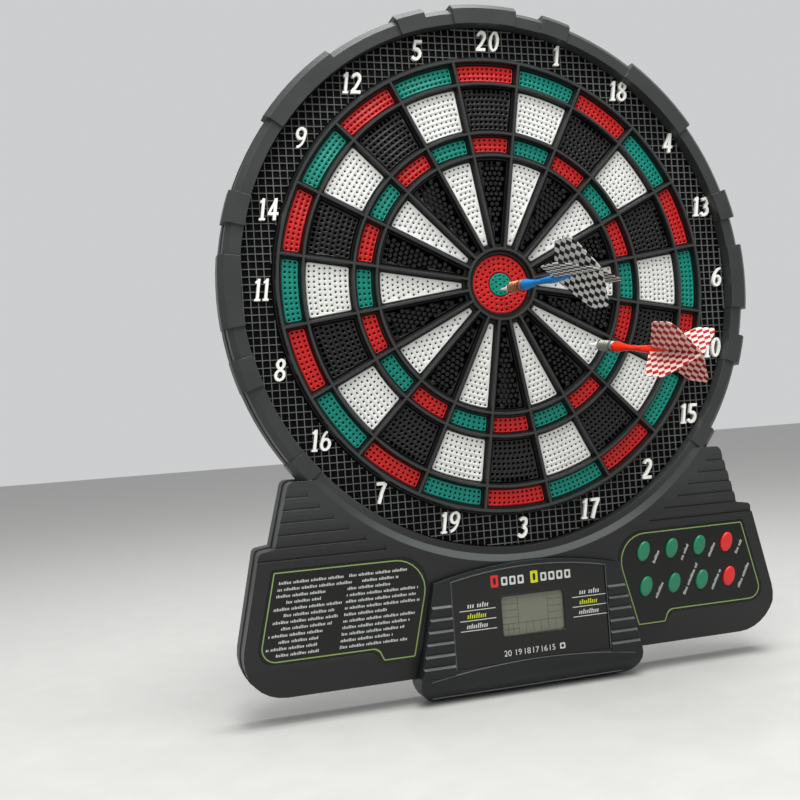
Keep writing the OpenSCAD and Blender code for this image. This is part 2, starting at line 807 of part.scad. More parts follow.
front_housing();
rear_housing();
catch_ring();
numerals();
spider();
for (i = [0:len(NUMBERS) - 1])
    number_segments(i);
outer_bull();
inner_bull();
games_label();
keypad_label();
display_bezel();
display_panel();
lcd_module();
for (k = KEYS)
    key(k);
keypad_mat();
main_board();
key_board();
sensor_membrane();
damping_foam();
backing_plate();
ribbon_cable();
speaker();
battery_door();
batteries();
battery_contacts();
housing_screws();
dart("blue", blue_hole, blue_droop, blue_folds, [0.5, 0.36, 0.26], [0.05, 0.45, 0.8], [0.3, 0.3, 0.3]);
dart("red", red_at, red_droop, red_folds, [0.4, 0.4, 0.35], [0.92, 0.18, 0.05], [0.8, 0.4, 0.4]);
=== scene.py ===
"""Looks for a wall-hung electronic dartboard with two soft-tip darts.

Shapes are built in board coordinates, in millimetres: x to the right, y up and z out of the wall,
with the origin on the back plane behind the bull. A finished piece is turned and scaled into the
row frame, which is in metres with the board facing -Y.
"""

import json
import logging
import math
from collections.abc import Callable, Iterable, Sequence
from dataclasses import dataclass, field
from enum import Enum
from functools import cache

import bmesh
import bpy
from mathutils import Matrix, Quaternion, Vector

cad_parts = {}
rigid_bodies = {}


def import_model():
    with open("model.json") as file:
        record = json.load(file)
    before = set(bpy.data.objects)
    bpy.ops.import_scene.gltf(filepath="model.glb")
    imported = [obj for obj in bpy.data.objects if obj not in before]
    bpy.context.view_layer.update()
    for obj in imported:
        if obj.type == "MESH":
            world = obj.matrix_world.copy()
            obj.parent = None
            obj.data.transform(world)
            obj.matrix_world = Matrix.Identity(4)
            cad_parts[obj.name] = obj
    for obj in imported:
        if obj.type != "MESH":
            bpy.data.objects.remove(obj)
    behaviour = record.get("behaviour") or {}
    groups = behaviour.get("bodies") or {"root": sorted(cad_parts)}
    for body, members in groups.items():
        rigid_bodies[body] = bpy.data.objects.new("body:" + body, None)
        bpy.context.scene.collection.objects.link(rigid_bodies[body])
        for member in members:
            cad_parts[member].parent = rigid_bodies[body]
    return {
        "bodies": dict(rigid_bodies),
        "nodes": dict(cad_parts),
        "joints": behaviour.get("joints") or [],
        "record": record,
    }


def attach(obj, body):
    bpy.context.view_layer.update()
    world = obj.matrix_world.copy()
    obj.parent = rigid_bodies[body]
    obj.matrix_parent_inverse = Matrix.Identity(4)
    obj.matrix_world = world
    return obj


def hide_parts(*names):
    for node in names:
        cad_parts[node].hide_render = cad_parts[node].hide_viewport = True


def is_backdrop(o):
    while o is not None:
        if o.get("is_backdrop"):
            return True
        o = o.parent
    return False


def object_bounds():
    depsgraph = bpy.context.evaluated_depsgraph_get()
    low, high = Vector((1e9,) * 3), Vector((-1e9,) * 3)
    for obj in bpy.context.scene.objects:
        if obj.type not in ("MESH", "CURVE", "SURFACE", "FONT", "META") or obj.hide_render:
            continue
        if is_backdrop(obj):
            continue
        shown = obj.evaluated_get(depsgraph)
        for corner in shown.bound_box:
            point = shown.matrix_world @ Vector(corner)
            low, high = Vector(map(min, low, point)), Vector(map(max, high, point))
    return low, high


LOG = logging.getLogger("dartboard")
MM = 0.001
SECTOR = 18  # the angle of one number, in degrees
TO_FRAME = Matrix.Rotation(math.pi / 2, 4, "X") @ Matrix.Scale(MM, 4)
Point = tuple[float, float]
Outline = Sequence[Point]
Colour = tuple[float, float, float]
Shape = bmesh.types.BMesh
Socket = bpy.types.NodeSocket


def srgb(red: float, green: float, blue: float) -> Colour:
    """Returns the linear colour of a display colour."""
    return tuple(c / 12.92 if c <= 0.04045 else ((c + 0.055) / 1.055) ** 2.4 for c in (red, green, blue))


def scaled(colour: Colour, share: float) -> Colour:
    """Returns a colour made darker or lighter by a factor."""
    return tuple(c * share for c in colour)


# ---- shader tools


def operator(operation: str, flip: bool = False) -> Callable[["Wire", "Wire | float"], "Wire"]:
    """Makes an arithmetic method of a wire.

    Args:
        operation: the Math node's operation.
        flip: True where the wire is the second operand.

    Returns:
        The method.
    """

    def method(self: "Wire", other: "Wire | float") -> "Wire":
        """Adds the Math node and returns its result."""
        return self.math(operation, *((other, self) if flip else (self, other)))

    return method


class Wire:
    """An output socket whose arithmetic adds Math nodes to its graph."""

    def __init__(self, graph: "Graph", socket: Socket) -> None:
        """Keeps the graph and the socket that carries the value."""
        self.graph = graph
        self.socket = socket

    def math(self, operation: str, *values: "Wire | float") -> "Wire":
        """Adds one Math node.

        Args:
            operation: the node's operation.
            values: its operands, in order.

        Returns:
            The node's result.
        """
        made = self.graph.node("ShaderNodeMath", dict(enumerate(values)), operation=operation)
        return Wire(self.graph, made.outputs[0])

    __add__ = __radd__ = operator("ADD")
    __sub__ = operator("SUBTRACT")
    __rsub__ = operator("SUBTRACT", flip=True)
    __mul__ = __rmul__ = operator("MULTIPLY")

    def ramp(self, low: float, high: float) -> "Wire":
        """Goes smoothly from 0 at low to 1 at high, and stays there.

        Args:
            low: the value that gives 0.
            high: the value that gives 1.

        Returns:
            The share between 0 and 1.
        """
        values = {"Value": self, "From Min": low, "From Max": high}
        made = self.graph.node("ShaderNodeMapRange", values, interpolation_type="SMOOTHSTEP")
        return Wire(self.graph, made.outputs[0])


class Graph:
    """The node tree of one new material with a Principled shader."""

    def __init__(self, name: str) -> None:
        """Makes the material of that name and its shader."""
        self.material = bpy.data.materials.new(name)
        self.material.use_nodes = True
        self.tree = self.material.node_tree
        self.tree.nodes.clear()
        self.shader = self.node("ShaderNodeBsdfPrincipled")
        self.node("ShaderNodeOutputMaterial", {"Surface": self.shader.outputs[0]})

    def node(self, kind: str, values: dict | None = None, **settings: object) -> bpy.types.Node:
        """Adds a node.

        Args:
            kind: the node's type.
            values: a number, colour, socket or Wire for each input, by name or number.
            settings: its properties, which are set first.

        Returns:
            The new node.
        """
        made = self.tree.nodes.new(kind)
        for key, value in settings.items():
            setattr(made, key, value)
        self.feed(made, values or {})
        return made

    def feed(self, node: bpy.types.Node, values: dict) -> None:
        """Sets or links a node's inputs, by name or number."""
        for key, value in values.items():
            source = value.socket if isinstance(value, Wire) else value
            if isinstance(source, Socket):
                self.tree.links.new(source, node.inputs[key])
            else:
                node.inputs[key].default_value = source

    def set(self, **values: object) -> None:
        """Sets or links the shader's inputs, named with _ for a space."""
        self.feed(self.shader, {key.replace("_", " "): value for key, value in values.items()})

    def place(self) -> Socket:
        """Returns the point on the object, in metres."""
        return self.node("ShaderNodeTexCoord").outputs["Object"]

    def axis(self, source: Socket, letter: str) -> Wire:
        """Returns one component of a vector."""
        return Wire(self, self.node("ShaderNodeSeparateXYZ", {0: source}).outputs[letter])

    def noise(self, size: float, detail: float = 3, stretch: Sequence[float] = (1, 1, 1)) -> Wire:
        """Adds a noise on the object's own coordinates.

        Args:
            size: the width of one blotch, in millimetres.
            detail: how many finer layers it has.
            stretch: how much faster it varies along each axis.

        Returns:
            The noise, about 0 to 1.
        """
        where = self.node("ShaderNodeMapping", {"Vector": self.place(), "Scale": stretch})
        values = {"Vector": where.outputs[0], "Scale": 1 / (size * MM), "Detail": detail}
        return Wire(self, self.node("ShaderNodeTexNoise", values).outputs["Fac"])

    def blend(self, share: Wire, first: Colour | Socket, second: Colour | Socket) -> Socket:
        """Mixes two colours.

        Args:
            share: 0 gives the first, 1 the second.
            first: a linear colour or a colour socket.
            second: a linear colour or a colour socket.

        Returns:
            The mixed colour.
        """
        ends = [(*c, 1) if isinstance(c, tuple) else c for c in (first, second)]
        values = {"Factor": share, 6: ends[0], 7: ends[1]}
        return self.node("ShaderNodeMix", values, data_type="RGBA").outputs[2]

    def bump(self, height: Wire, depth: float, normal: Socket | None = None) -> None:
        """Gives the shader a bump.

        Args:
            height: the relief, 0 to 1.
            depth: how deep the whole relief is, in millimetres.
            normal: the normal that it is added to.
        """
        values = {"Height": height, "Strength": 1.0, "Distance": depth * MM}
        if normal is not None:
            values["Normal"] = normal
        self.set(Normal=self.node("ShaderNodeBump", values).outputs[0])


# ---- finishes


@dataclass(frozen=True)
class Look:
    """What every finish has: a name and one material."""

    name: str

    def paint(self, graph: Graph) -> None:
        """Sets the shader of the finish's material."""
        raise NotImplementedError

    @cache
    def material(self) -> bpy.types.Material:
        """Returns the finish's material, made on first use."""
        graph = Graph(self.name)
        self.paint(graph)
        return graph.material


@dataclass(frozen=True)
class Plastic(Look):
    """Injection-moulded plastic with a fine grain, cloudy colour and a painted highlight on its edges."""

    colour: Colour
    roughness: float = 0.45
    cloud: float = 0.12
    grain: float = 0.6
    grain_depth: float = 0.01
    edge: float = 0.0
    edge_highlight_lift: float = 1.6
    coat: float = 0.0
    specular: float = 0.5

    def tint(self, graph: Graph, colour: Socket) -> Socket:
        """Returns the colour as this finish changes it over the surface."""
        return colour

    def paint(self, graph: Graph) -> None:
        """Sets a cloudy colour, a grain and, where the edge is not 0, a painted highlight on the edges."""
        cloud = graph.noise(28, 4)
        speck = graph.noise(self.grain, 2)
        dull, bright = (scaled(self.colour, 1 + sign * self.cloud) for sign in (-1, 1))
        colour = graph.blend(cloud.ramp(0.3, 0.7), dull, bright)
        normal = None
        # Painted highlight: where the bevel normal turns away from the flat normal, a lighter copy of the
        # colour is laid on the edges, in patches that follow the cloud.
        if self.edge > 0:
            normal = graph.node("ShaderNodeBevel", {"Radius": self.edge * MM}, samples=4).outputs[0]
            flat = graph.node("ShaderNodeNewGeometry").outputs["Normal"]
            dot = graph.node("ShaderNodeVectorMath", {0: normal, 1: flat}, operation="DOT_PRODUCT")
            painted_edge_mask = (1 - Wire(graph, dot.outputs["Value"])).ramp(0.01, 0.2) * cloud.ramp(0.2, 0.6)
            colour = graph.blend(painted_edge_mask, colour, scaled(self.colour, self.edge_highlight_lift))
        graph.set(
            Base_Color=self.tint(graph, colour),
            Roughness=self.roughness + (cloud - 0.5) * 0.16 + (speck - 0.5) * 0.1,
            Coat_Weight=self.coat,
            Specular_IOR_Level=self.specular,
        )
        graph.bump(speck, self.grain_depth, normal)


@dataclass(frozen=True)
class PittedPlastic(Plastic):
    """Plastic of a perforated piece: painted shade darkens its pits with depth and a painted highlight
    lightens the lands of its face.
    """

    face: float = 23.5
    pit_shade: Colour = (0.0, 0.0, 0.0)
    pit_shade_top: float = 0.35
    pit_shade_bottom: float = 2.2
    land_highlight: Colour | None = None

    def tint(self, graph: Graph, colour: Socket) -> Socket:
        """Returns the colour with painted shade that deepens with the depth below the face."""
        depth = graph.axis(graph.place(), "Y") + self.face * MM
        # Painted shade: below the face the colour turns towards the pit colour, fully so at the bottom depth.
        shaded = graph.blend(depth.ramp(self.pit_shade_top * MM, self.pit_shade_bottom * MM), colour, self.pit_shade)
        if self.land_highlight is None:
            return shaded
        # Painted highlight: the thin lands at the face get a lighter colour above the shaded pits.
        return graph.blend(depth.ramp(0.05 * MM, 0.3 * MM), self.land_highlight, shaded)


@dataclass(frozen=True)
class GradedPlastic(Plastic):
    """Plastic with painted shade that darkens it towards the bottom of the board.

    Its lip, a band between two radii about the bull, gets a painted highlight above the shaded part.
    """

    low: float = -200.0
    high: float = -150.0
    bottom_shade_share: float = 0.4
    lip: tuple[float, float] = (205.3, 210.6)
    lip_highlight: float = 2.6
    lip_blur: float = 0.5

    def tint(self, graph: Graph, colour: Socket) -> Socket:
        """Returns the colour with painted shade by the height on the board and a painted highlight on the
        lip.
        """
        rise = graph.axis(graph.place(), "Z").ramp(self.low * MM, self.high * MM)
        # Painted shade: lower on the board the colour falls to a share of itself.
        low = graph.blend(rise, scaled(self.colour, self.bottom_shade_share), colour)
        flat = {0: graph.place(), 1: (1, 0, 1)}
        level = graph.node("ShaderNodeVectorMath", flat, operation="MULTIPLY").outputs[0]
        span = graph.node("ShaderNodeVectorMath", {0: level}, operation="LENGTH")
        radius = Wire(graph, span.outputs["Value"])
        # Painted highlight: the lip band above the shaded part gets a lighter copy of the colour.
        inner, outer = (radius.ramp(edge * MM, (edge + self.lip_blur) * MM) for edge in self.lip)
        return graph.blend(inner * (1 - outer) * (1 - rise), low, scaled(self.colour, self.lip_highlight))


@dataclass(frozen=True)
class Metal(Look):
    """Turned metal with fine scratches and a little tarnish."""

    colour: Colour
    roughness: float = 0.32
    tarnish: Colour = (0.08, 0.06, 0.05)
    tarnish_share: float = 0.35

    def paint(self, graph: Graph) -> None:
        """Sets the metal's tarnished colour and its scratches around the axis."""
        cloud = graph.noise(5, 4)
        scratch = graph.noise(0.25, 2, (1, 6, 1))
        share = cloud.ramp(0.45, 0.75) * self.tarnish_share
        graph.set(
            Base_Color=graph.blend(share, self.colour, self.tarnish),
            Metallic=1.0,
            Roughness=self.roughness + (scratch - 0.5) * 0.25 + cloud * 0.1,
        )
        graph.bump(scratch, 0.01)


@dataclass(frozen=True)
class Ink(Look):
    """Screen-printed ink, slightly uneven, on a film."""

    colour: Colour
    roughness: float = 0.55

    def paint(self, graph: Graph) -> None:
        """Sets an ink that is thin in places."""
        uneven = graph.noise(0.8, 3)
        graph.set(
            Base_Color=graph.blend(uneven.ramp(0.3, 0.7), scaled(self.colour, 0.78), self.colour),
            Roughness=self.roughness + (uneven - 0.5) * 0.1,
        )
        graph.bump(uneven, 0.01)


@dataclass(frozen=True)
class CheckedFilm(Look):
    """Flight film printed with diamonds, on the piece's own UV map in millimetres."""

    dark: Colour
    light: Colour
    across: float = 5.7
    along: float = 6.8

    def paint(self, graph: Graph) -> None:
        """Sets the diamonds, which two crossed waves make."""
        spot = graph.node("ShaderNodeUVMap", uv_map="film").outputs[0]
        out = graph.axis(spot, "X") * (1 / self.across)
        back = graph.axis(spot, "Y") * (1 / self.along)
        wave = out.math("SINE", (out + back) * math.pi) * out.math("SINE", (out - back) * math.pi)
        uneven = graph.noise(2.5, 3)
        light = graph.blend(uneven.ramp(0.3, 0.7), scaled(self.light, 0.85), self.light)
        graph.set(
            Base_Color=graph.blend(wave.ramp(-0.06, 0.06), self.dark, light),
            Roughness=0.36 + uneven * 0.15,
            Specular_IOR_Level=0.3,
        )
        graph.bump(uneven, 0.02)


@dataclass(frozen=True)
class CircuitBoard(Look):
    """Green solder mask with copper tracks under it."""

    def paint(self, graph: Graph) -> None:
        """Sets the mask and the tracks, which follow a pattern of long blocks."""
        turned = {"Vector": graph.place(), "Rotation": (math.pi / 2, 0, 0)}
        where = graph.node("ShaderNodeMapping", turned).outputs[0]
        sizes = {"Vector": where, "Scale": 300.0, "Mortar Size": 0.08, "Brick Width": 1.6}
        tracks = Wire(graph, graph.node("ShaderNodeTexBrick", sizes).outputs["Fac"])
        uneven = graph.noise(4, 3)
        mask = graph.blend(uneven.ramp(0.3, 0.7), srgb(0.06, 0.28, 0.13), srgb(0.09, 0.36, 0.18))
        graph.set(
            Base_Color=graph.blend(tracks * 0.6, mask, srgb(0.45, 0.55, 0.22)),
            Roughness=0.3 + uneven * 0.15,
            Coat_Weight=0.4,
        )
        graph.bump(tracks, 0.03)


class Finish(Enum):
    """The finishes of the dartboard and its darts."""

    # Painted light on the front housing: shade towards the bottom, a highlight on the lip and a highlight on
    # the edges.
    HOUSING = GradedPlastic(
        "charcoal_housing", srgb(0.185, 0.195, 0.19), 0.42, 0.07, 0.45, 0.014, 0.5, 2.6, specular=0.35
    )
    # Painted highlight: the edges of the rear housing are painted 2.0 times lighter.
    REAR = Plastic("black_rear_housing", srgb(0.12, 0.125, 0.125), 0.5, 0.1, 0.5, 0.02, 0.5, 2.0)
    # Painted highlight: the edges of the display housing are painted 5.0 times lighter.
    BEZEL = Plastic(
        "display_housing", srgb(0.085, 0.1, 0.105), 0.34, 0.08, 0.5, 0.012, 0.5, 5.0, specular=0.35
    )
    # Painted shade: the spider darkens below the top of its ridges.
    SPIDER = PittedPlastic(
        "spider_lattice", srgb(0.19, 0.2, 0.195), 0.34, 0.1, 0.6, 0.012, specular=0.35, face=27.55,
        pit_shade=srgb(0.05, 0.055, 0.052), pit_shade_top=0.2, pit_shade_bottom=1.6,
    )
    CATCH = Plastic("catch_plate", srgb(0.01, 0.01, 0.01), 0.6, 0.2, 0.6, 0.02, specular=0.08)
    GRID = Plastic("catch_grid", srgb(0.36, 0.37, 0.365), 0.4, 0.2, 0.6, 0.012, specular=0.3)
    # Painted highlight: a light grey laid on the rib ledges and on the chin and window edges.
    PAINTED_HIGHLIGHT = Plastic("painted_highlight_grey", srgb(0.3, 0.31, 0.31), 0.4, 0.15, 0.8, specular=0.4)
    # Painted highlight: the numerals' edges are painted 1.02 times lighter.
    NUMERAL = Plastic("numeral_white", srgb(0.93, 0.93, 0.91), 0.4, 0.03, 0.6, 0.008, 0.35, 1.02)
    # Painted highlight on the lands between the holes of the black segments, and painted shade that darkens
    # their pits to black.
    BLACK = PittedPlastic(
        "segment_black", srgb(0.035, 0.037, 0.035), 0.27, specular=0.28, land_highlight=srgb(0.09, 0.095, 0.092)
    )
    # Painted shade in the pits of the white segments.
    WHITE = PittedPlastic(
        "segment_white", srgb(0.83, 0.835, 0.82), 0.4, 0.03, pit_shade=srgb(0.16, 0.16, 0.16), pit_shade_top=0.45
    )
    # Painted shade in the pits of the red segments.
    RED = PittedPlastic(
        "segment_red", srgb(0.72, 0.08, 0.075), 0.36, 0.06, specular=0.35, pit_shade=srgb(0.12, 0.0, 0.0)
    )
    # Painted shade in the pits of the green segments.
    GREEN = PittedPlastic(
        "segment_green", srgb(0.0, 0.49, 0.43), 0.36, 0.06, specular=0.3, pit_shade=srgb(0.0, 0.09, 0.08)
    )
    LABEL = Plastic(
        "label_film", srgb(0.045, 0.055, 0.045), 0.26, 0.12, 0.8, 0.004, coat=0.05, specular=0.3
    )
    # Painted highlight: the window's edges are painted 6.0 times lighter.
    PANEL = Plastic(
        "display_window", srgb(0.05, 0.057, 0.05), 0.18, 0.12, 1.2, 0.003, 0.4, 6.0,
        coat=0.05, specular=0.35,
    )
    LCD = Plastic("lcd_glass", srgb(0.39, 0.405, 0.34), 0.22, 0.05, 1.0, 0.002, coat=0.3)
    LCD_CELL = Ink("lcd_cell_lines", srgb(0.25, 0.265, 0.215))
    KEY_GREEN = Plastic("key_green", srgb(0.02, 0.44, 0.3), 0.3, 0.06, 0.7, 0.006, coat=0.2)
    KEY_RED = Plastic("key_red", srgb(0.78, 0.09, 0.08), 0.3, 0.06, 0.7, 0.006, coat=0.2)
    SILICONE = Plastic("grey_silicone", srgb(0.62, 0.62, 0.6), 0.6, 0.05, 0.8, 0.02)
    BOARD = CircuitBoard("circuit_board")
    MEMBRANE = Plastic("membrane_film", srgb(0.09, 0.09, 0.1), 0.35, 0.2, 2.0, coat=0.3)
    FOAM = Plastic("damping_foam", srgb(0.22, 0.22, 0.24), 0.95, 0.2, 0.9, 0.25)
    HARDBOARD = Plastic("hardboard", srgb(0.45, 0.33, 0.21), 0.85, 0.2, 0.7, 0.08)
    RIBBON = Plastic("ribbon_film", srgb(0.8, 0.78, 0.7), 0.35, 0.05)
    SPEAKER = Plastic("speaker_cone", srgb(0.13, 0.13, 0.13), 0.7, 0.15, 0.4, 0.05)
    CELL = Plastic("battery_sleeve", srgb(0.62, 0.45, 0.12), 0.28, 0.25, 3.0, 0.004, coat=0.4)
    SPRING = Metal("contact_steel", (0.62, 0.61, 0.58), 0.25, (0.3, 0.28, 0.25), 0.2)
    SCREW = Metal("screw_steel", (0.42, 0.42, 0.43), 0.35)
    TIP = Plastic("dart_tip_nylon", srgb(0.9, 0.9, 0.88), 0.35, 0.04, 0.6, 0.008)
    COPPER = Metal("copper_barrel", (0.42, 0.22, 0.13), 0.42, (0.16, 0.08, 0.05), 0.6)
    STEEL = Metal("steel_barrel", (0.34, 0.34, 0.3), 0.42, (0.14, 0.14, 0.11), 0.6)
    SHAFT_BLUE = Plastic("blue_shaft", srgb(0.02, 0.46, 0.74), 0.25, 0.05, 0.6, 0.005, coat=0.3)
    SHAFT_RED = Plastic("red_shaft", srgb(0.93, 0.16, 0.05), 0.25, 0.05, 0.6, 0.005, coat=0.3)
    BLACK_CHECKS = CheckedFilm("black_check_film", srgb(0.03, 0.03, 0.033), srgb(0.82, 0.82, 0.81))
    RED_CHECKS = CheckedFilm("red_check_film", srgb(0.58, 0.04, 0.08), srgb(0.93, 0.78, 0.74))
    FILM_EDGE = Ink("film_edge", srgb(0.88, 0.87, 0.86), 0.4)
    INK_WHITE = Ink("ink_white", srgb(0.8, 0.81, 0.79))
    INK_LIME = Ink("ink_lime", srgb(0.5, 0.6, 0.33))
    INK_YELLOW = Ink("ink_yellow", srgb(0.8, 0.82, 0.05))
    INK_RED = Ink("ink_red", srgb(0.85, 0.12, 0.12))

    def material(self) -> bpy.types.Material:
        """Returns the material of this finish."""
        return self.value.material()


# ---- modelling tools


def clock(radius: float, angle: float) -> Point:
    """Returns the point at a radius and a clock angle, in degrees clockwise from the top."""
    turn = math.radians(angle)
    return radius * math.sin(turn), radius * math.cos(turn)


def circle(radius: float, sides: int, centre: Point = (0, 0)) -> list[Point]:
    """Returns the corners of a round outline."""
    steps = [clock(radius, 360 * i / sides) for i in range(sides)]
    return [(centre[0] + x, centre[1] + y) for x, y in steps]


def softened(outline: Outline, radius: float, turn: float = 25, steps: int = 3) -> list[Point]:
    """Rounds the sharp corners of an outline.

    Args:
        outline: its corners in order.
        radius: how far before and after a corner the rounding starts.
        turn: corners that turn less than this many degrees stay as they are.
        steps: how many short sides a rounded corner gets.

    Returns:
        The new outline.
    """
    made: list[Point] = []
    count = len(outline)
    for i in range(count):
        before, here, after = (Vector(outline[(i + k) % count]) for k in (-1, 0, 1))
        into, out = here - before, after - here
        if math.degrees(into.angle(out)) < turn:
            made.append(tuple(here))
            continue
        start = here - into.normalized() * min(radius, 0.45 * into.length)
        end = here + out.normalized() * min(radius, 0.45 * out.length)
        for k in range(steps + 1):
            t = k / steps
            made.append(tuple(start * (1 - t) ** 2 + here * (2 * t * (1 - t)) + end * t**2))
    return made


def cell_outline(inner: float, outer: float, inset: float, steps: int) -> list[Point]:
    """Returns one cell of the target, between two radii and two radial bars.

    Args:
        inner: its inner radius.
        outer: its outer radius.
        inset: distance of its sides from the sector's border lines.
        steps: how many short sides its outer arc has.

    Returns:
        The outline, centred on the top of the target.
    """
    def arc(radius: float, count: int) -> list[Point]:
        reach = SECTOR / 2 - math.degrees(math.asin(inset / radius))
        return [clock(radius, reach * (2 * i / count - 1)) for i in range(count + 1)]

    return arc(outer, steps) + arc(inner, max(2, round(steps * inner / outer)))[::-1]


def oblong(centre: Point, half_width: float, half_height: float) -> list[Point]:
    """Returns a rectangle's corners, clockwise from the lower left."""
    left, right = centre[0] - half_width, centre[0] + half_width
    low, high = centre[1] - half_height, centre[1] + half_height
    return [(left, low), (left, high), (right, high), (right, low)]


def add_object(name: str, data: bpy.types.ID) -> bpy.types.Object:
    """Adds an object with that data to the scene."""
    made = bpy.data.objects.new(name, data)
    bpy.context.scene.collection.objects.link(made)
    return made


def mesh_of(shape: Shape, name: str) -> bpy.types.Mesh:
    """Turns a shape into a mesh and frees it."""
    mesh = bpy.data.meshes.new(name)
    shape.to_mesh(mesh)
    shape.free()
    return mesh


def solid_of(
    curve: bpy.types.Curve, lines: Iterable[Sequence], closed: bool, at: Sequence[float]
) -> bpy.types.Mesh:
    """Turns a curve into a mesh and removes it.

    Args:
        curve: the curve, with its thickness set.
        lines: the points of each line that it gets.
        closed: whether the lines are closed.
        at: where its origin goes in board coordinates.

    Returns:
        The mesh.
    """
    for line in lines:
        spline = curve.splines.new("POLY")
        spline.points.add(len(line) - 1)
        for point, place in zip(spline.points, line):
            point.co = (*Vector(place).to_3d(), 1)
        spline.use_cyclic_u = closed
    holder = add_object(curve.name, curve)
    shown = holder.evaluated_get(bpy.context.evaluated_depsgraph_get())
    mesh = bpy.data.meshes.new_from_object(shown)
    bpy.data.objects.remove(holder)
    bpy.data.curves.remove(curve)
    mesh.transform(Matrix.Translation(at))
    return mesh


def flat_mesh(
    outline: Outline, holes: Iterable[Outline], back: float, front: float, bevel: float = 0.0
) -> bpy.types.Mesh:
    """Cuts a flat piece with holes from a plate and chamfers its edges.

    Args:
        outline: the front face's outer outline, in millimetres.
        holes: the outlines of its holes at the front face.
        back: the height of its back face.
        front: the height of its front face.
        bevel: the chamfer's width; the sides and holes grow inwards by that much.

    Returns:
        A mesh in board coordinates.
    """
    curve = bpy.data.curves.new("outline", "CURVE")
    curve.dimensions = "2D"
    curve.fill_mode = "BOTH"
    curve.extrude = (front - back) / 2 - bevel
    curve.bevel_depth = bevel
    curve.bevel_resolution = 0
    return solid_of(curve, (outline, *holes), True, (0, 0, (front + back) / 2))


def tube(path: Sequence[Sequence[float]], radius: float) -> bpy.types.Mesh:
    """Makes a thin closed tube along a path of points in board coordinates."""
    curve = bpy.data.curves.new("path", "CURVE")
    curve.dimensions = "3D"
    curve.bevel_depth = radius
    curve.bevel_resolution = 1
    curve.use_fill_caps = True
    return solid_of(curve, [path], False, (0, 0, 0))


def shape_of(*meshes: bpy.types.Mesh, turn: float = 0.0) -> Shape:
    """Joins meshes into one welded shape, turned clockwise about the bull by an angle in degrees."""
    shape = bmesh.new()
    for mesh in meshes:
        shape.from_mesh(mesh)
    bmesh.ops.remove_doubles(shape, verts=shape.verts, dist=0.002)
    bmesh.ops.rotate(shape, verts=shape.verts, matrix=Matrix.Rotation(-math.radians(turn), 3, "Z"))
    return shape


def add_bar(shape: Shape, start: Vector, end: Vector, width: float, height: float) -> None:
    """Adds a straight bar that lies on the board.

    Args:
        shape: the shape that gets it.
        start: the middle of its foot at one end.
        end: the middle of its foot at the other end.
        width: its width.
        height: how far it stands up.
    """
    along = end - start
    turn = Matrix.Rotation(math.atan2(along.y, along.x), 4, "Z")
    middle = Matrix.Translation((start + end) / 2 + Vector((0, 0, height / 2)))
    size = Matrix.Diagonal((along.length, width, height, 1))
    bmesh.ops.create_cube(shape, size=1, matrix=middle @ turn @ size)


def lathe(profile: Outline, sides: int) -> Shape:
    """Turns a profile of (radius, height) points about the z axis into a closed shape."""
    shape = bmesh.new()
    verts = [shape.verts.new((r, 0, z)) for r, z in profile]
    edges = [shape.edges.new(pair) for pair in zip(verts, verts[1:])]
    bmesh.ops.spin(
        shape, geom=verts + edges, cent=(0, 0, 0), axis=(0, 0, 1), angle=math.tau, steps=sides, use_merge=True
    )
    bmesh.ops.remove_doubles(shape, verts=shape.verts, dist=0.0005)
    return shape


@dataclass
class Placing:
    """Where a finished piece goes: its body, the nodes it stands for and its slot in the record."""

    body: str
    slot: str | None = None
    replaces: tuple[str, ...] = ()
    matrix: Matrix = field(default_factory=TO_FRAME.copy)
    sharp: float = 35.0


def publish(shape: Shape, name: str, finishes: Sequence[Finish], placing: Placing) -> None:
    """Turns a shape into a piece that rides on its body.

    Args:
        shape: the shape in its own millimetre coordinates; it is used up.
        name: the piece's name.
        finishes: its finishes, in the order of the faces' material numbers.
        placing: where it goes.
    """
    bmesh.ops.transform(shape, matrix=placing.matrix, verts=shape.verts)
    bmesh.ops.recalc_face_normals(shape, faces=shape.faces)
    mesh = mesh_of(shape, name)
    for finish in finishes:
        mesh.materials.append(finish.material())
    mesh.shade_smooth()
    mesh.set_sharp_from_angle(angle=math.radians(placing.sharp))
    piece = add_object(name, mesh)
    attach(piece, placing.body)
    if placing.replaces:
        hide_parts(*placing.replaces)
    LOG.info("%s: %d faces on %s", name, len(mesh.polygons), placing.body)


# ---- target


class Ring(Enum):
    """The four rings of a number, from the bull outwards."""

    INNER_SINGLE = "inner_single"
    TRIPLE = "triple"
    OUTER_SINGLE = "outer_single"
    DOUBLE = "double"


@dataclass(frozen=True)
class RingSize:
    """Radii of one ring and the layout of its holes, in straight columns or in staggered rows."""

    inner: float
    outer: float
    first_row: float
    rows: int
    arc_steps: int
    columns: int = 0

    @property
    def scores(self) -> bool:
        """True for the narrow double and triple rings."""
        return self.rows <= 3


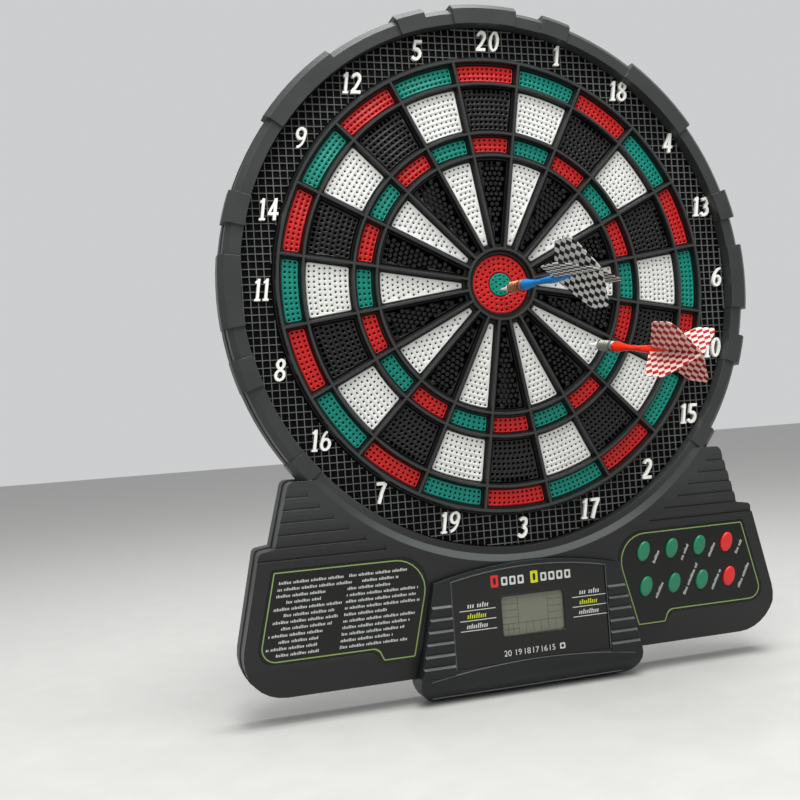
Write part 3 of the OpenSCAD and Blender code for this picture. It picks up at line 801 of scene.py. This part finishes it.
@dataclass
class Target:
    """The segments of the twenty numbers and the two bulls."""

    numbers: tuple[int, ...] = (20, 1, 18, 4, 13, 6, 10, 15, 2, 17, 3, 19, 7, 16, 8, 11, 14, 9, 12, 5)
    face: float = 23.5
    back: float = 14.5
    bar: float = 5.86
    pitch: float = 3.94
    bore: float = 0.85
    chamfer: float = 0.45
    black_chamfer: float = 0.75
    score_pitch: float = 3.75
    wide: float = 100.0
    corner: float = 1.3
    hole_sides: int = 10
    outer_bull: float = 22.9
    inner_bull: float = 8.8
    bull_gap: float = 0.7
    bull_chamfer: float = 0.25
    rings: dict[Ring, RingSize] = field(
        default_factory=lambda: {
            Ring.INNER_SINGLE: RingSize(31.5, 96.15, 35.0, 16, 12),
            Ring.TRIPLE: RingSize(102.7, 114.0, 104.6, 3, 14, 7),
            Ring.OUTER_SINGLE: RingSize(119.86, 152.14, 122.21, 8, 18),
            Ring.DOUBLE: RingSize(157.5, 170.0, 160.0, 3, 20, 12),
        }
    )

    def holes(self, size: RingSize, mouth: float) -> list[list[Point]]:
        """Lays out a segment's holes in arcs.

        Args:
            size: the ring's radii and rows.
            mouth: the radius of a hole at the face.

        Returns:
            One outline for each hole.
        """
        made = []
        for row in range(size.rows):
            radius = size.first_row + row * (self.score_pitch if size.scores else self.pitch)
            reach = radius * math.radians(SECTOR / 2) - self.bar / 2 - mouth - self.chamfer
            step = self.pitch
            if size.columns:
                count = size.columns
                step = 2 * reach / (count - 1)
            elif size.inner > self.wide:
                count = math.floor(2 * reach / step + 1)
            elif row % 2 == 0:
                count = 2 * math.floor(reach / step) + 1
            else:
                count = 2 * math.floor(reach / step + 0.5)
            for i in range(count):
                along = (i - (count - 1) / 2) * step
                centre = clock(radius, math.degrees(along / radius))
                made.append(circle(mouth, self.hole_sides, centre))
        return made

    def template(self, size: RingSize, chamfer: float) -> bpy.types.Mesh:
        """Makes the segment of the top sector for one ring."""
        outline = cell_outline(
            size.inner + chamfer, size.outer - chamfer, self.bar / 2 + chamfer, size.arc_steps
        )
        outline = softened(outline, self.corner)
        return flat_mesh(outline, self.holes(size, self.bore + chamfer), self.back, self.face, chamfer)

    def build_number(self, index: int, templates: dict[tuple[Ring, bool], bpy.types.Mesh]) -> None:
        """Makes the four segments of one number.

        Args:
            index: the number's place, clockwise from the top.
            templates: the top sector's segments by ring and by whether they are black.
        """
        number = self.numbers[index]
        dark = index % 2 == 0
        for ring, size in self.rings.items():
            if size.scores:
                finish = Finish.RED if dark else Finish.GREEN
            else:
                finish = Finish.BLACK if dark else Finish.WHITE
            shape = shape_of(templates[ring, dark and not size.scores], turn=SECTOR * index)
            node = f"segment_{number}"
            placing = Placing(f"number_{number}", finish.value.name, (node,), sharp=50)
            publish(shape, f"{ring.value}_{number}", [finish], placing)

    def hole_ring(self, count: int, radius: float, mouth: float) -> list[Outline]:
        """Returns that many round holes, evenly spaced about the bull."""
        return [circle(mouth, self.hole_sides, clock(radius, 360 * i / count)) for i in range(count)]

    def build_bulls(self) -> None:
        """Makes the outer and the inner bull with their rings of holes."""
        mouth = self.bore + self.chamfer
        holes = [circle(self.inner_bull + self.bull_gap + self.chamfer, 64)]
        for ring in (3, 4, 5):
            holes += self.hole_ring(6 * ring, 4 * ring - 0.1, mouth)
        rim = circle(self.outer_bull - self.chamfer, 96)
        outer = flat_mesh(rim, holes, self.back, self.face, self.chamfer)
        mouth = self.bore + self.bull_chamfer
        holes = [circle(mouth, self.hole_sides)]
        for ring, radius in ((1, 3.9), (2, 6.9)):
            holes += self.hole_ring(6 * ring, radius, mouth - 0.1 * ring)
        rim = circle(self.inner_bull - self.bull_chamfer, 64)
        inner = flat_mesh(rim, holes, self.back, self.face, self.bull_chamfer)
        for name, mesh, finish in (("outer_bull", outer, Finish.RED), ("inner_bull", inner, Finish.GREEN)):
            placing = Placing(name, finish.value.name, (name,), sharp=50)
            publish(shape_of(mesh), f"{name}_disc", [finish], placing)

    def build(self) -> None:
        """Makes every segment."""
        templates = {}
        for ring, size in self.rings.items():
            templates[ring, False] = self.template(size, self.chamfer)
            if not size.scores:
                templates[ring, True] = self.template(size, self.black_chamfer)
        for index in range(len(self.numbers)):
            self.build_number(index, templates)
        self.build_bulls()


@dataclass
class Spider:
    """The lattice between the segments, with sloping bars that end in a thin ridge."""

    ridge: float = 1.1
    flank: float = 1.6
    top: float = 27.55
    half_height: float = 3.3
    outer: float = 174.2
    radii: tuple[float, ...] = (27.2, 99.43, 116.93, 154.82, 173.2)

    def build(self) -> None:
        """Makes the ridges on top of the lattice."""
        half = self.ridge / 2
        cells = [circle(self.radii[0] - half, 96)]
        for inner, outer in zip(self.radii, self.radii[1:]):
            top = cell_outline(inner + half, outer - half, half, 12)
            for angle in range(0, 360, SECTOR):
                turn = Matrix.Rotation(-math.radians(angle), 2)
                cells.append([tuple(turn @ Vector(point)) for point in top])
        squat = self.flank * 1.1
        shape = shape_of(flat_mesh(circle(self.outer, 240), cells, -squat, squat, self.flank))
        bmesh.ops.scale(shape, verts=shape.verts, vec=(1, 1, self.half_height / squat))
        bmesh.ops.translate(shape, verts=shape.verts, vec=(0, 0, self.top - self.half_height))
        publish(shape, "spider_ridges", [Finish.SPIDER], Placing("board", "spider_plastic"))


@dataclass
class CatchRing:
    """The numbered ring around the target, with its square grid of thin ribs."""

    inner: float = 177.2
    outer: float = 199.6
    plate: float = 20.5
    pitch: float = 5.5
    rib_width: float = 0.62
    rib_height: float = 1.3
    sunk: float = 0.2
    step: float = 0.1

    def spans(self, offset: float) -> list[tuple[float, float]]:
        """Returns the stretches of a straight line at an offset from the bull that lie on the ring."""
        outer = math.sqrt(self.outer**2 - offset**2)
        if abs(offset) >= self.inner:
            return [(-outer, outer)]
        inner = math.sqrt(self.inner**2 - offset**2)
        return [(-outer, -inner), (inner, outer)]

    def build(self) -> None:
        """Makes the grid."""
        shape = bmesh.new()
        count = math.floor(self.outer / self.pitch)
        foot = self.plate - self.sunk
        for offset in (i * self.pitch for i in range(-count, count + 1)):
            for start, end in self.spans(offset):
                upright = (Vector((offset, start, foot)), Vector((offset, end, foot)))
                level = (Vector((start, offset, foot)), Vector((end, offset, foot)))
                add_bar(shape, *upright, self.rib_width, self.rib_height)
                add_bar(shape, *level, self.rib_width, self.rib_height - self.step)
        publish(shape, "catch_grid", [Finish.GRID], Placing("board", "black_plastic"))


# ---- console


class Mark:
    """Printing on the console: each method adds thin raised ink to one shape."""

    thickness = 0.06

    def __init__(self, height: float) -> None:
        """Starts an empty print on the surface at that height."""
        self.height = height
        self.shape = bmesh.new()

    def bar(self, start: Point, end: Point, width: float) -> None:
        """Adds a straight printed stroke."""
        add_bar(self.shape, Vector((*start, self.height)), Vector((*end, self.height)), width, self.thickness)

    def flat(self, outline: Outline, holes: Iterable[Outline] = ()) -> None:
        """Adds a printed area."""
        self.shape.from_mesh(flat_mesh(outline, holes, self.height, self.height + self.thickness))
        bmesh.ops.remove_doubles(self.shape, verts=self.shape.verts, dist=0.002)

    def words(self, start: Point, end: Point, tall: float, pitch: float = 1.15, seed: int = 0) -> None:
        """Adds a run of slanted strokes in groups, which stands for a line of print.

        Args:
            start: where the line starts.
            end: where it ends.
            tall: the height of the strokes.
            pitch: their spacing.
            seed: shifts the pattern of tall, short and left-out strokes.
        """
        along = Vector(end) - Vector(start)
        up = Vector((-along.y, along.x)).normalized()
        lean = along.normalized() * 0.22
        for i in range(int(along.length / pitch) + 1):
            beat = (i * 5 + seed * 3) % 11
            if beat == 7:
                continue
            foot = Vector(start) + along.normalized() * (i * pitch)
            top = foot + (up + lean) * tall * (1.0 if beat in (0, 4, 9) else 0.72)
            self.bar(tuple(foot), tuple(top), pitch * 0.5)

    def publish(self, name: str, finish: Finish, slot: str | None) -> None:
        """Turns the print into a piece on the board."""
        publish(self.shape, name, [finish], Placing("board", slot))


@dataclass
class Label:
    """The two printed labels of the wings."""

    height: float = 31.95
    line: float = 0.85
    outline: tuple[tuple[float, float, float], ...] = (
        (190.8, -199.8, 1.5), (205.6, -262.5, 10), (119, -262.5, 7),
        (115.2, -271.3, 1.5), (91.6, -271.3, 1.5), (74.1, -200.3, 22),
    )
    left_column: tuple[Point, ...] = (
        (0, 48), (0, 54), (0, 35), (8, 25), (0, 50), (8, 36),
        (0, 48), (8, 36), (0, 39), (8, 28), (0, 36), (8, 30),
    )
    right_column: tuple[Point, ...] = (
        (0, 43), (9, 28), (0, 32), (0, 54), (0, 52), (0, 56),
        (0, 32), (0, 54), (0, 50), (0, 47), (0, 38), (0, 50),
    )
    list_top: float = -208.6
    line_pitch: float = 4.55
    captions: tuple[float, ...] = (10.5, 13.5, 12, 12, 13, 27, 18, 21)

    def border(self, inset: float, side: int) -> list[Point]:
        """Returns the label's outline, moved inwards, on the right (1) or left (-1) wing."""
        corners = [Vector(c[:2]) for c in self.outline]
        moved = []
        for i, here in enumerate(corners):
            into = (here - corners[i - 1]).normalized()
            out = (corners[(i + 1) % len(corners)] - here).normalized()
            first, second = (Vector((v.y, -v.x)) for v in (into, out))
            moved.append(here + (first + second) * inset / (1 + first.dot(second)))
        made = []
        for i, (here, corner) in enumerate(zip(moved, self.outline)):
            into = (moved[i - 1] - here).normalized()
            out = (moved[(i + 1) % len(moved)] - here).normalized()
            half = into.angle(out) / 2
            reach = max(0.3, corner[2] - inset) / math.tan(half)
            start, end = here + into * reach, here + out * reach
            for t in (k / 8 for k in range(9)):
                shares = ((1 - t) ** 2, 2 * t * (1 - t) * math.sin(half), t**2)
                point = (start * shares[0] + here * shares[1] + end * shares[2]) / sum(shares)
                made.append((side * point.x, point.y))
        return made

    def build_list(self) -> None:
        """Makes the lines of print on the left label, in two columns."""
        white = Mark(self.height)
        columns = ((self.left_column, -187.5, -0.27), (self.right_column, -136.5, -0.21))
        for seed, (lines, left, slant) in enumerate(columns):
            for row, (indent, length) in enumerate(lines):
                drop = row * self.line_pitch
                start = (left + indent + slant * drop, self.list_top - drop)
                white.words(start, (start[0] + length, start[1]), 2.1, seed=row + 5 * seed)
        white.publish("games_list_print", Finish.INK_WHITE, "white_plastic")

    def build_captions(self, keys: Sequence[Point]) -> None:
        """Makes a sloping caption below and to the right of every key."""
        captions = Mark(self.height)
        for i, (key, length) in enumerate(zip(keys, self.captions)):
            start = Vector(key) + Vector((9.2, -10.3))
            end = start + Vector((0.51, 0.86)) * length
            captions.words(tuple(start), tuple(end), 2.4, 1.35, seed=i)
        captions.publish("key_captions", Finish.INK_WHITE, "white_plastic")

    def build(self, keys: Sequence[Point]) -> None:
        """Makes the printing of both labels, given the middles of the eight keys."""
        lime = Mark(self.height)
        for side in (-1, 1):
            lime.flat(self.border(0, side), [self.border(self.line, side)])
        lime.publish("label_borders", Finish.INK_LIME, None)
        self.build_list()
        self.build_captions(keys)


@dataclass
class Keypad:
    """Eight domed oval keys in two rows."""

    half_width: float = 5.2
    half_height: float = 7.6
    lean: float = 0.24
    pitch: float = 25.0
    row_pitch: float = 27.4
    first: Point = (100.4, -214.6)
    flange: float = 28.4
    top: float = 34.0

    def places(self) -> list[Point]:
        """Returns the middles of the keys, row by row."""
        x, y = self.first
        return [(x + self.pitch * i, y - self.row_pitch * row) for row in (0, 1) for i in range(4)]

    def build(self) -> None:
        """Makes the keys."""
        rise = self.top - self.flange
        profile = [
            (0, 0), (1.2, 0), (1.2, 0.9), (1, 1), (1, rise - 1.2), (0.96, rise - 0.75),
            (0.88, rise - 0.4), (0.76, rise - 0.18), (0.5, rise - 0.04), (0.25, rise), (0, rise),
        ]
        for number, (x, y) in enumerate(self.places(), start=1):
            shape = lathe(profile, 48)
            oval = Matrix.Diagonal((self.half_width, self.half_height, 1, 1))
            slope = Matrix.Identity(4)
            slope[0][1] = self.lean
            bmesh.ops.transform(shape, matrix=slope @ oval, verts=shape.verts)
            bmesh.ops.translate(shape, verts=shape.verts, vec=(x, y, self.flange))
            finish = Finish.KEY_GREEN if number % 4 else Finish.KEY_RED
            placing = Placing(f"key_{number}", finish.value.name, (f"key_{number}",), sharp=55)
            publish(shape, f"key_cap_{number}", [finish], placing)


@dataclass
class Display:
    """The display housing's window, its liquid crystal glass and its printing."""

    window: float = 37.5
    glass: float = 35.4
    centre: Point = (1.5, -250.2)
    size: Point = (51.5, 30.5)
    margin: float = 3.0
    face: float = 38.5
    half_window: float = 62.5
    window_foot: float = -284.0
    arch_radius: float = 306.8
    arch_centre: float = -520.5
    shoulder: Point = (72.1, -205.0)
    flare: float = 0.2115
    ribs: int = 6
    rib_top: float = -236.2
    rib_pitch: float = 8.72
    rib_rise: float = 2.0
    chin_top: float = -287.0
    chin_drop: float = 22.0
    chin_depth: float = 16.1
    chin_edge: float = -283.6
    chin_sag: float = 5.5

    def build_ribs(self) -> None:
        """Makes the slats beside the window: each has a ledge on top and slopes back to the face; the ledges
        get a painted highlight.
        """
        shape = bmesh.new()
        for i in range(self.ribs):
            top = self.rib_top - self.rib_pitch * i
            section = ((top, -0.1), (top - 1.5, self.rib_rise), (top - self.rib_pitch, 0.05))
            for side in (-1, 1):
                corners = []
                for y, rise in section:
                    outer = self.shoulder[0] + self.flare * (self.shoulder[1] - y) - max(rise, 0) * 0.3
                    for x in (self.half_window + 1, outer):
                        corners.append(shape.verts.new((side * x, y, self.face + rise)))
                bmesh.ops.convex_hull(shape, input=corners)
        shape.normal_update()
        for face in shape.faces:
            # Painted highlight: faces that look up the board take the light grey finish.
            face.material_index = int(face.normal.y > 0.3)
        publish(shape, "display_ribs", [Finish.BEZEL, Finish.PAINTED_HIGHLIGHT], Placing("board", "bezel_plastic"))

    def build_edge_highlights(self) -> None:
        """Makes painted highlights: a light tube along the edge of the arched chin and a thin one around the
        window's top and sides.
        """
        chin = []
        for x in (-82 + 165 * i / 24 for i in range(25)):
            y = self.chin_edge - self.chin_sag * ((x - 2) / 75) ** 2
            below = max(0.0, self.chin_top - y) / self.chin_drop
            chin.append((x, y, self.face - self.chin_depth * (1 - math.sqrt(1 - below**2))))
        side = self.half_window + 0.3
        arch = [side * (i / 10 - 1) for i in range(21)]
        rim = [(x, math.sqrt(self.arch_radius**2 - x**2) + self.arch_centre, self.face) for x in arch]
        rim = [(-side, self.window_foot, self.face), *rim, (side, self.window_foot, self.face)]
        # Painted highlight: thin light grey tubes stand for light along these edges.
        edges = shape_of(tube(chin, 0.4), tube(rim, 0.45))
        publish(edges, "display_edge_highlights", [Finish.PAINTED_HIGHLIGHT], Placing("board", "bezel_plastic"))

    def build_glass(self) -> None:
        """Makes the liquid crystal glass, its frame and the faint lines of its cells."""
        width, tall = self.size
        outline = oblong(self.centre, width / 2 + self.margin, tall / 2 + self.margin)
        plate = shape_of(flat_mesh(outline, [], self.glass - 3.2, self.glass, 0.3))
        publish(plate, "lcd_glass_plate", [Finish.LCD], Placing("board", "lcd_glass", ("lcd_module",)))
        width, tall = width / 2 - 0.2, tall / 2 - 0.2
        opening = softened(oblong(self.centre, width, tall), 2.6)
        border = oblong(self.centre, width * 1.035, tall * 1.055)
        frame = flat_mesh(border, [opening], self.glass - 0.05, self.window + 0.25, 0.2)
        publish(shape_of(frame), "lcd_frame", [Finish.PANEL], Placing("board", "panel_black"))
        self.build_cells()

    def build_cells(self) -> None:
        """Makes the lines between the glass's cells, from their places as shares of its size."""
        left, right, foot = 0.26, 0.76, 0.28
        strokes = [(left, foot, right, foot), (0, 0.13, left, 0.13)]
        strokes += [(u, foot, u, 1) for u in (left, right)]
        strokes += [(u, 0, u, foot) for u in (0.08, 0.17, left, 0.38, 0.5, 0.63, right, 0.88)]
        for v in (foot, 0.46, 0.64, 0.82):
            strokes += [(0, v, left, v), (right, v, 1, v)]
        lines = Mark(self.glass)
        (x, y), wide, high = self.centre, self.size[0] - 3, self.size[1] - 3
        for stroke in strokes:
            start, end = ((x + (u - 0.5) * wide, y + (v - 0.5) * high) for u, v in (stroke[:2], stroke[2:]))
            lines.bar(start, end, 0.3)
        lines.publish("lcd_cells", Finish.LCD_CELL, "lcd_glass")

    def tile(self, left: float, right: float, low: float, high: float) -> list[Point]:
        """Returns a rectangle with softened corners."""
        middle = ((left + right) / 2, (low + high) / 2)
        return softened(oblong(middle, (right - left) / 2, (high - low) / 2), 0.9)

    def build_print(self) -> None:
        """Makes the printing on the window: a plain title strip, the legends and the number strip."""
        white, yellow, red = (Mark(self.window) for _ in range(3))
        low, high, small = -227.6, -218.6, -220.6
        for mark, left in ((red, -31.2), (yellow, 0.8)):
            window = self.tile(left + 1.9, left + 4.1, low + 1.9, high - 1.9)
            mark.flat(self.tile(left, left + 6, low, high), [window])
        for left, count in ((-22.8, 3), (9, 4)):
            for x in (left + 6.6 * i for i in range(count)):
                window = self.tile(x + 1.3, x + 3.6, low + 2.1, small - 1.3)
                white.flat(self.tile(x, x + 4.9, low + 0.6, small), [window])
        legends = (
            (white, -240.6, -7.5, 8, 3.6, 1.9, 1),
            (yellow, -248.2, -8, 8.5, 3.6, 1.7, 2),
            (white, -255.6, -9, 9.5, 3.5, 1.7, 4),
        )
        for left, right in ((-57.2, -28.8), (33.8, 62.1)):
            for rule in (-242.4, -249.8, -257.2):
                white.bar((left, rule), (right, rule), 0.55)
            middle = (left + right) / 2
            for mark, foot, start, end, tall, pitch, seed in legends:
                mark.words((middle + start, foot), (middle + end, foot), tall, pitch, seed)
        self.add_numbers(white)
        white.publish("window_print_white", Finish.INK_WHITE, "white_plastic")
        yellow.publish("window_print_yellow", Finish.INK_YELLOW, None)
        red.publish("window_print_red", Finish.INK_RED, None)

    def add_numbers(self, mark: Mark) -> None:
        """Adds the strip of target numbers and the bull's sign under the glass."""
        low = -279.4
        strip = {"20": -24.6, "19": -16.3, "18": -9.2, "17": -2.4, "16": 4.6, "15": 11.2}
        for text, x in strip.items():
            curve = bpy.data.curves.new("numbers", "FONT")
            curve.body = text
            curve.size = 6.2
            curve.extrude = mark.thickness / 2
            at = (x, low, self.window + mark.thickness / 2)
            mark.shape.from_mesh(solid_of(curve, (), True, at))
        mark.flat(self.tile(20.9, 25.3, low, low + 4.4), [circle(1.3, 16, (23.1, low + 2.2))])

    def build(self) -> None:
        """Makes the display's pieces."""
        self.build_ribs()
        self.build_edge_highlights()
        self.build_glass()
        self.build_print()


# ---- darts


@dataclass
class Dart:
    """One soft-tip dart's flight, about the dart's own axis."""

    name: str
    hole: Point
    film: Finish
    droop: float
    folds: tuple[float, float]
    lean: float = 6.5
    board_face: float = 23.5
    entry: float = 3.0
    start: float = 80.5
    span: float = 27.0
    length: float = 57.0
    thickness: float = 0.36
    curl: float = 0.9

    def placing(self) -> Matrix:
        """Returns the matrix from the dart's own axis, along +Z, to the row frame."""
        at = Vector((self.hole[0], self.entry - self.board_face, self.hole[1])) * MM
        lean = Matrix.Rotation(math.radians(self.lean), 4, "Z")
        droop = Matrix.Rotation(math.radians(self.droop + 90), 4, "X")
        return Matrix.Translation(at) @ (lean @ droop) @ Matrix.Scale(MM, 4)

    def vane(self, turn: float) -> bpy.types.Mesh:
        """Makes one vane with a plain border and a slight curl, turned about the dart's axis."""
        low, span = self.start, self.span
        outline = [
            (0.25, low), (0.85 * span, low + 19.6), (span, low + 24), (span, low + 41.5),
            (0.88 * span, low + 45.5), (0.25, low + self.length),
        ]
        shape = bmesh.new()
        face = shape.faces.new([shape.verts.new((x, 0, z)) for x, z in softened(outline, 2.6, 12, 4)])
        ring = bmesh.ops.inset_region(shape, faces=[face], thickness=0.75, use_even_offset=True)
        for border in ring["faces"]:
            border.material_index = 1
        cuts = [Vector((0, 0, low + self.length * step / 8)) for step in range(1, 8)]
        for place in (*cuts, Vector((6.5, 0, 0)), Vector((13, 0, 0))):
            parts = [*shape.verts, *shape.edges, *shape.faces]
            bmesh.ops.bisect_plane(shape, geom=parts, plane_co=place, plane_no=place.normalized())
        layer = shape.loops.layers.uv.new("film")
        for part in shape.faces:
            for loop in part.loops:
                loop[layer].uv = (loop.vert.co.x, loop.vert.co.z - low)
        for vert in shape.verts:
            bow = math.sin((vert.co.z - low) / self.length * math.pi)
            vert.co.y += self.curl * (vert.co.x / span) ** 2 * bow
        bmesh.ops.recalc_face_normals(shape, faces=shape.faces)
        bmesh.ops.solidify(shape, geom=shape.faces[:], thickness=self.thickness)
        bmesh.ops.rotate(shape, verts=shape.verts, matrix=Matrix.Rotation(math.radians(turn), 3, "Z"))
        return mesh_of(shape, "vane")

    def build(self) -> None:
        """Makes the flight."""
        flight = bmesh.new()
        for turn in (*self.folds, *(fold + 180 for fold in self.folds)):
            flight.from_mesh(self.vane(turn))
        node = f"{self.name}_dart_flight"
        placing = Placing(f"{self.name}_dart", self.film.value.name, (node,), self.placing())
        publish(flight, f"{self.name}_dart_vanes", [self.film, Finish.FILM_EDGE], placing)


# ---- CAD nodes that stay


DRESSED: dict[Finish, tuple[str, ...]] = {
    Finish.HOUSING: ("front_housing",),
    Finish.REAR: ("rear_housing", "battery_door"),
    Finish.BEZEL: ("display_bezel",),
    Finish.PANEL: ("display_panel",),
    Finish.LABEL: ("games_label", "keypad_label"),
    Finish.SPIDER: ("spider",),
    Finish.CATCH: ("catch_ring",),
    Finish.NUMERAL: ("numerals",),
    Finish.SILICONE: ("keypad_mat",),
    Finish.BOARD: ("main_board", "key_board"),
    Finish.MEMBRANE: ("sensor_membrane",),
    Finish.FOAM: ("damping_foam",),
    Finish.HARDBOARD: ("backing_plate",),
    Finish.RIBBON: ("ribbon_cable",),
    Finish.SPEAKER: ("speaker",),
    Finish.CELL: ("batteries",),
    Finish.SPRING: ("battery_contacts",),
    Finish.SCREW: ("housing_screws",),
    Finish.TIP: ("blue_dart_tip", "red_dart_tip"),
    Finish.COPPER: ("blue_dart_barrel",),
    Finish.STEEL: ("red_dart_barrel",),
    Finish.SHAFT_BLUE: ("blue_dart_shaft",),
    Finish.SHAFT_RED: ("red_dart_shaft",),
}


def dress(nodes: dict[str, bpy.types.Object]) -> None:
    """Gives the CAD nodes that stay their finishes.

    Args:
        nodes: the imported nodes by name.
    """
    for finish, names in DRESSED.items():
        for name in names:
            mesh = nodes[name].data
            mesh.materials.clear()
            mesh.materials.append(finish.material())
            LOG.info("%s: dressed in %s", name, finish.value.name)


# ---- studio


@dataclass
class Studio:
    """Pale floor, soft lights and the camera."""

    camera_at: Vector = field(default_factory=lambda: Vector((-0.29992, -0.738, -0.10256)))
    aim: Vector = field(default_factory=lambda: Vector((-0.087, -0.0235, -0.0839)))
    lit: Vector = field(default_factory=lambda: Vector((0, 0, -0.05)))
    roll: float = -4.05
    lens: float = 45.2
    floor_size: float = 12.0
    world_colour: Colour = (0.92, 0.93, 0.94)
    world_strength: float = 0.66

    def point(self, thing: bpy.types.Object, at: Vector, target: Vector, roll: float = 0.0) -> None:
        """Puts a camera or light in its place and turns it to a target.

        Args:
            thing: the camera or light.
            at: where it goes.
            target: what it looks at.
            roll: its turn about the line of sight, in degrees.
        """
        thing.location = at
        thing.rotation_mode = "QUATERNION"
        look = (target - at).to_track_quat("-Z", "Y")
        thing.rotation_quaternion = look @ Quaternion((0, 0, 1), math.radians(roll))

    def build_camera(self) -> None:
        """Makes the camera."""
        camera = add_object("camera", bpy.data.cameras.new("camera"))
        camera.data.lens = self.lens
        camera.data.sensor_width = 36
        camera.data.clip_start = 0.01
        self.point(camera, self.camera_at, self.aim, self.roll)
        bpy.context.scene.camera = camera

    def add_light(self, name: str, at: Sequence[float], size: float, power: float, colour: Colour) -> None:
        """Adds a square soft light that faces the board.

        Args:
            name: its name.
            at: where it is.
            size: its side.
            power: its power in watts.
            colour: its colour.
        """
        light = bpy.data.lights.new(name, "AREA")
        light.shape = "SQUARE"
        light.size = size
        light.energy = power
        light.color = colour
        self.point(add_object(name, light), Vector(at), self.lit)

    def build_floor(self, level: float) -> None:
        """Makes the floor at a height."""
        shape = bmesh.new()
        bmesh.ops.create_grid(shape, x_segments=2, y_segments=2, size=self.floor_size / 2)
        bmesh.ops.translate(shape, verts=shape.verts, vec=(0, 0, level))
        mesh = mesh_of(shape, "floor")
        mesh.materials.append(Plastic("floor_paint", srgb(0.7, 0.7, 0.69), 0.7, 0.02, 4.0, 0.02).material())
        add_object("floor", mesh)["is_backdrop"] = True

    def build(self, level: float) -> None:
        """Makes the whole studio around the object, whose lowest point is at that level."""
        self.build_camera()
        self.build_floor(level)
        self.add_light("key", (-0.45, -0.95, 1.3), 0.9, 16, (1.0, 0.99, 0.97))
        self.add_light("top", (0.05, -0.2, 1.15), 0.8, 24, (1.0, 1.0, 1.0))
        self.add_light("fill", (-1.7, -1.5, 0.1), 1.6, 3, (0.97, 0.98, 1.0))
        world = bpy.data.worlds.new("studio")
        world.use_nodes = True
        backdrop = world.node_tree.nodes["Background"]
        backdrop.inputs["Color"].default_value = (*self.world_colour, 1)
        backdrop.inputs["Strength"].default_value = self.world_strength
        bpy.context.scene.world = world
        bpy.context.scene.view_settings.view_transform = "Standard"


def corners(box: tuple[Vector, Vector]) -> list[list[float]]:
    """Returns a box's corners as plain lists."""
    return [list(corner) for corner in box]


def main() -> None:
    """Builds the dartboard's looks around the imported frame."""
    logging.basicConfig(level=logging.INFO, format="%(message)s")
    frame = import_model()
    cad_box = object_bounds()
    Studio().build(cad_box[0].z)
    dress(frame["nodes"])
    Target().build()
    Spider().build()
    CatchRing().build()
    keypad = Keypad()
    keypad.build()
    Label().build(keypad.places())
    Display().build()
    Dart("blue", (0, -3.9), Finish.BLACK_CHECKS, 3.0, (120, 166)).build()
    Dart("red", (70.895, -49.073), Finish.RED_CHECKS, 8.5, (127, 35)).build()
    sizes = {"cad": corners(cad_box), "visual": corners(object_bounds())}


if __name__ == "__main__":
    main()
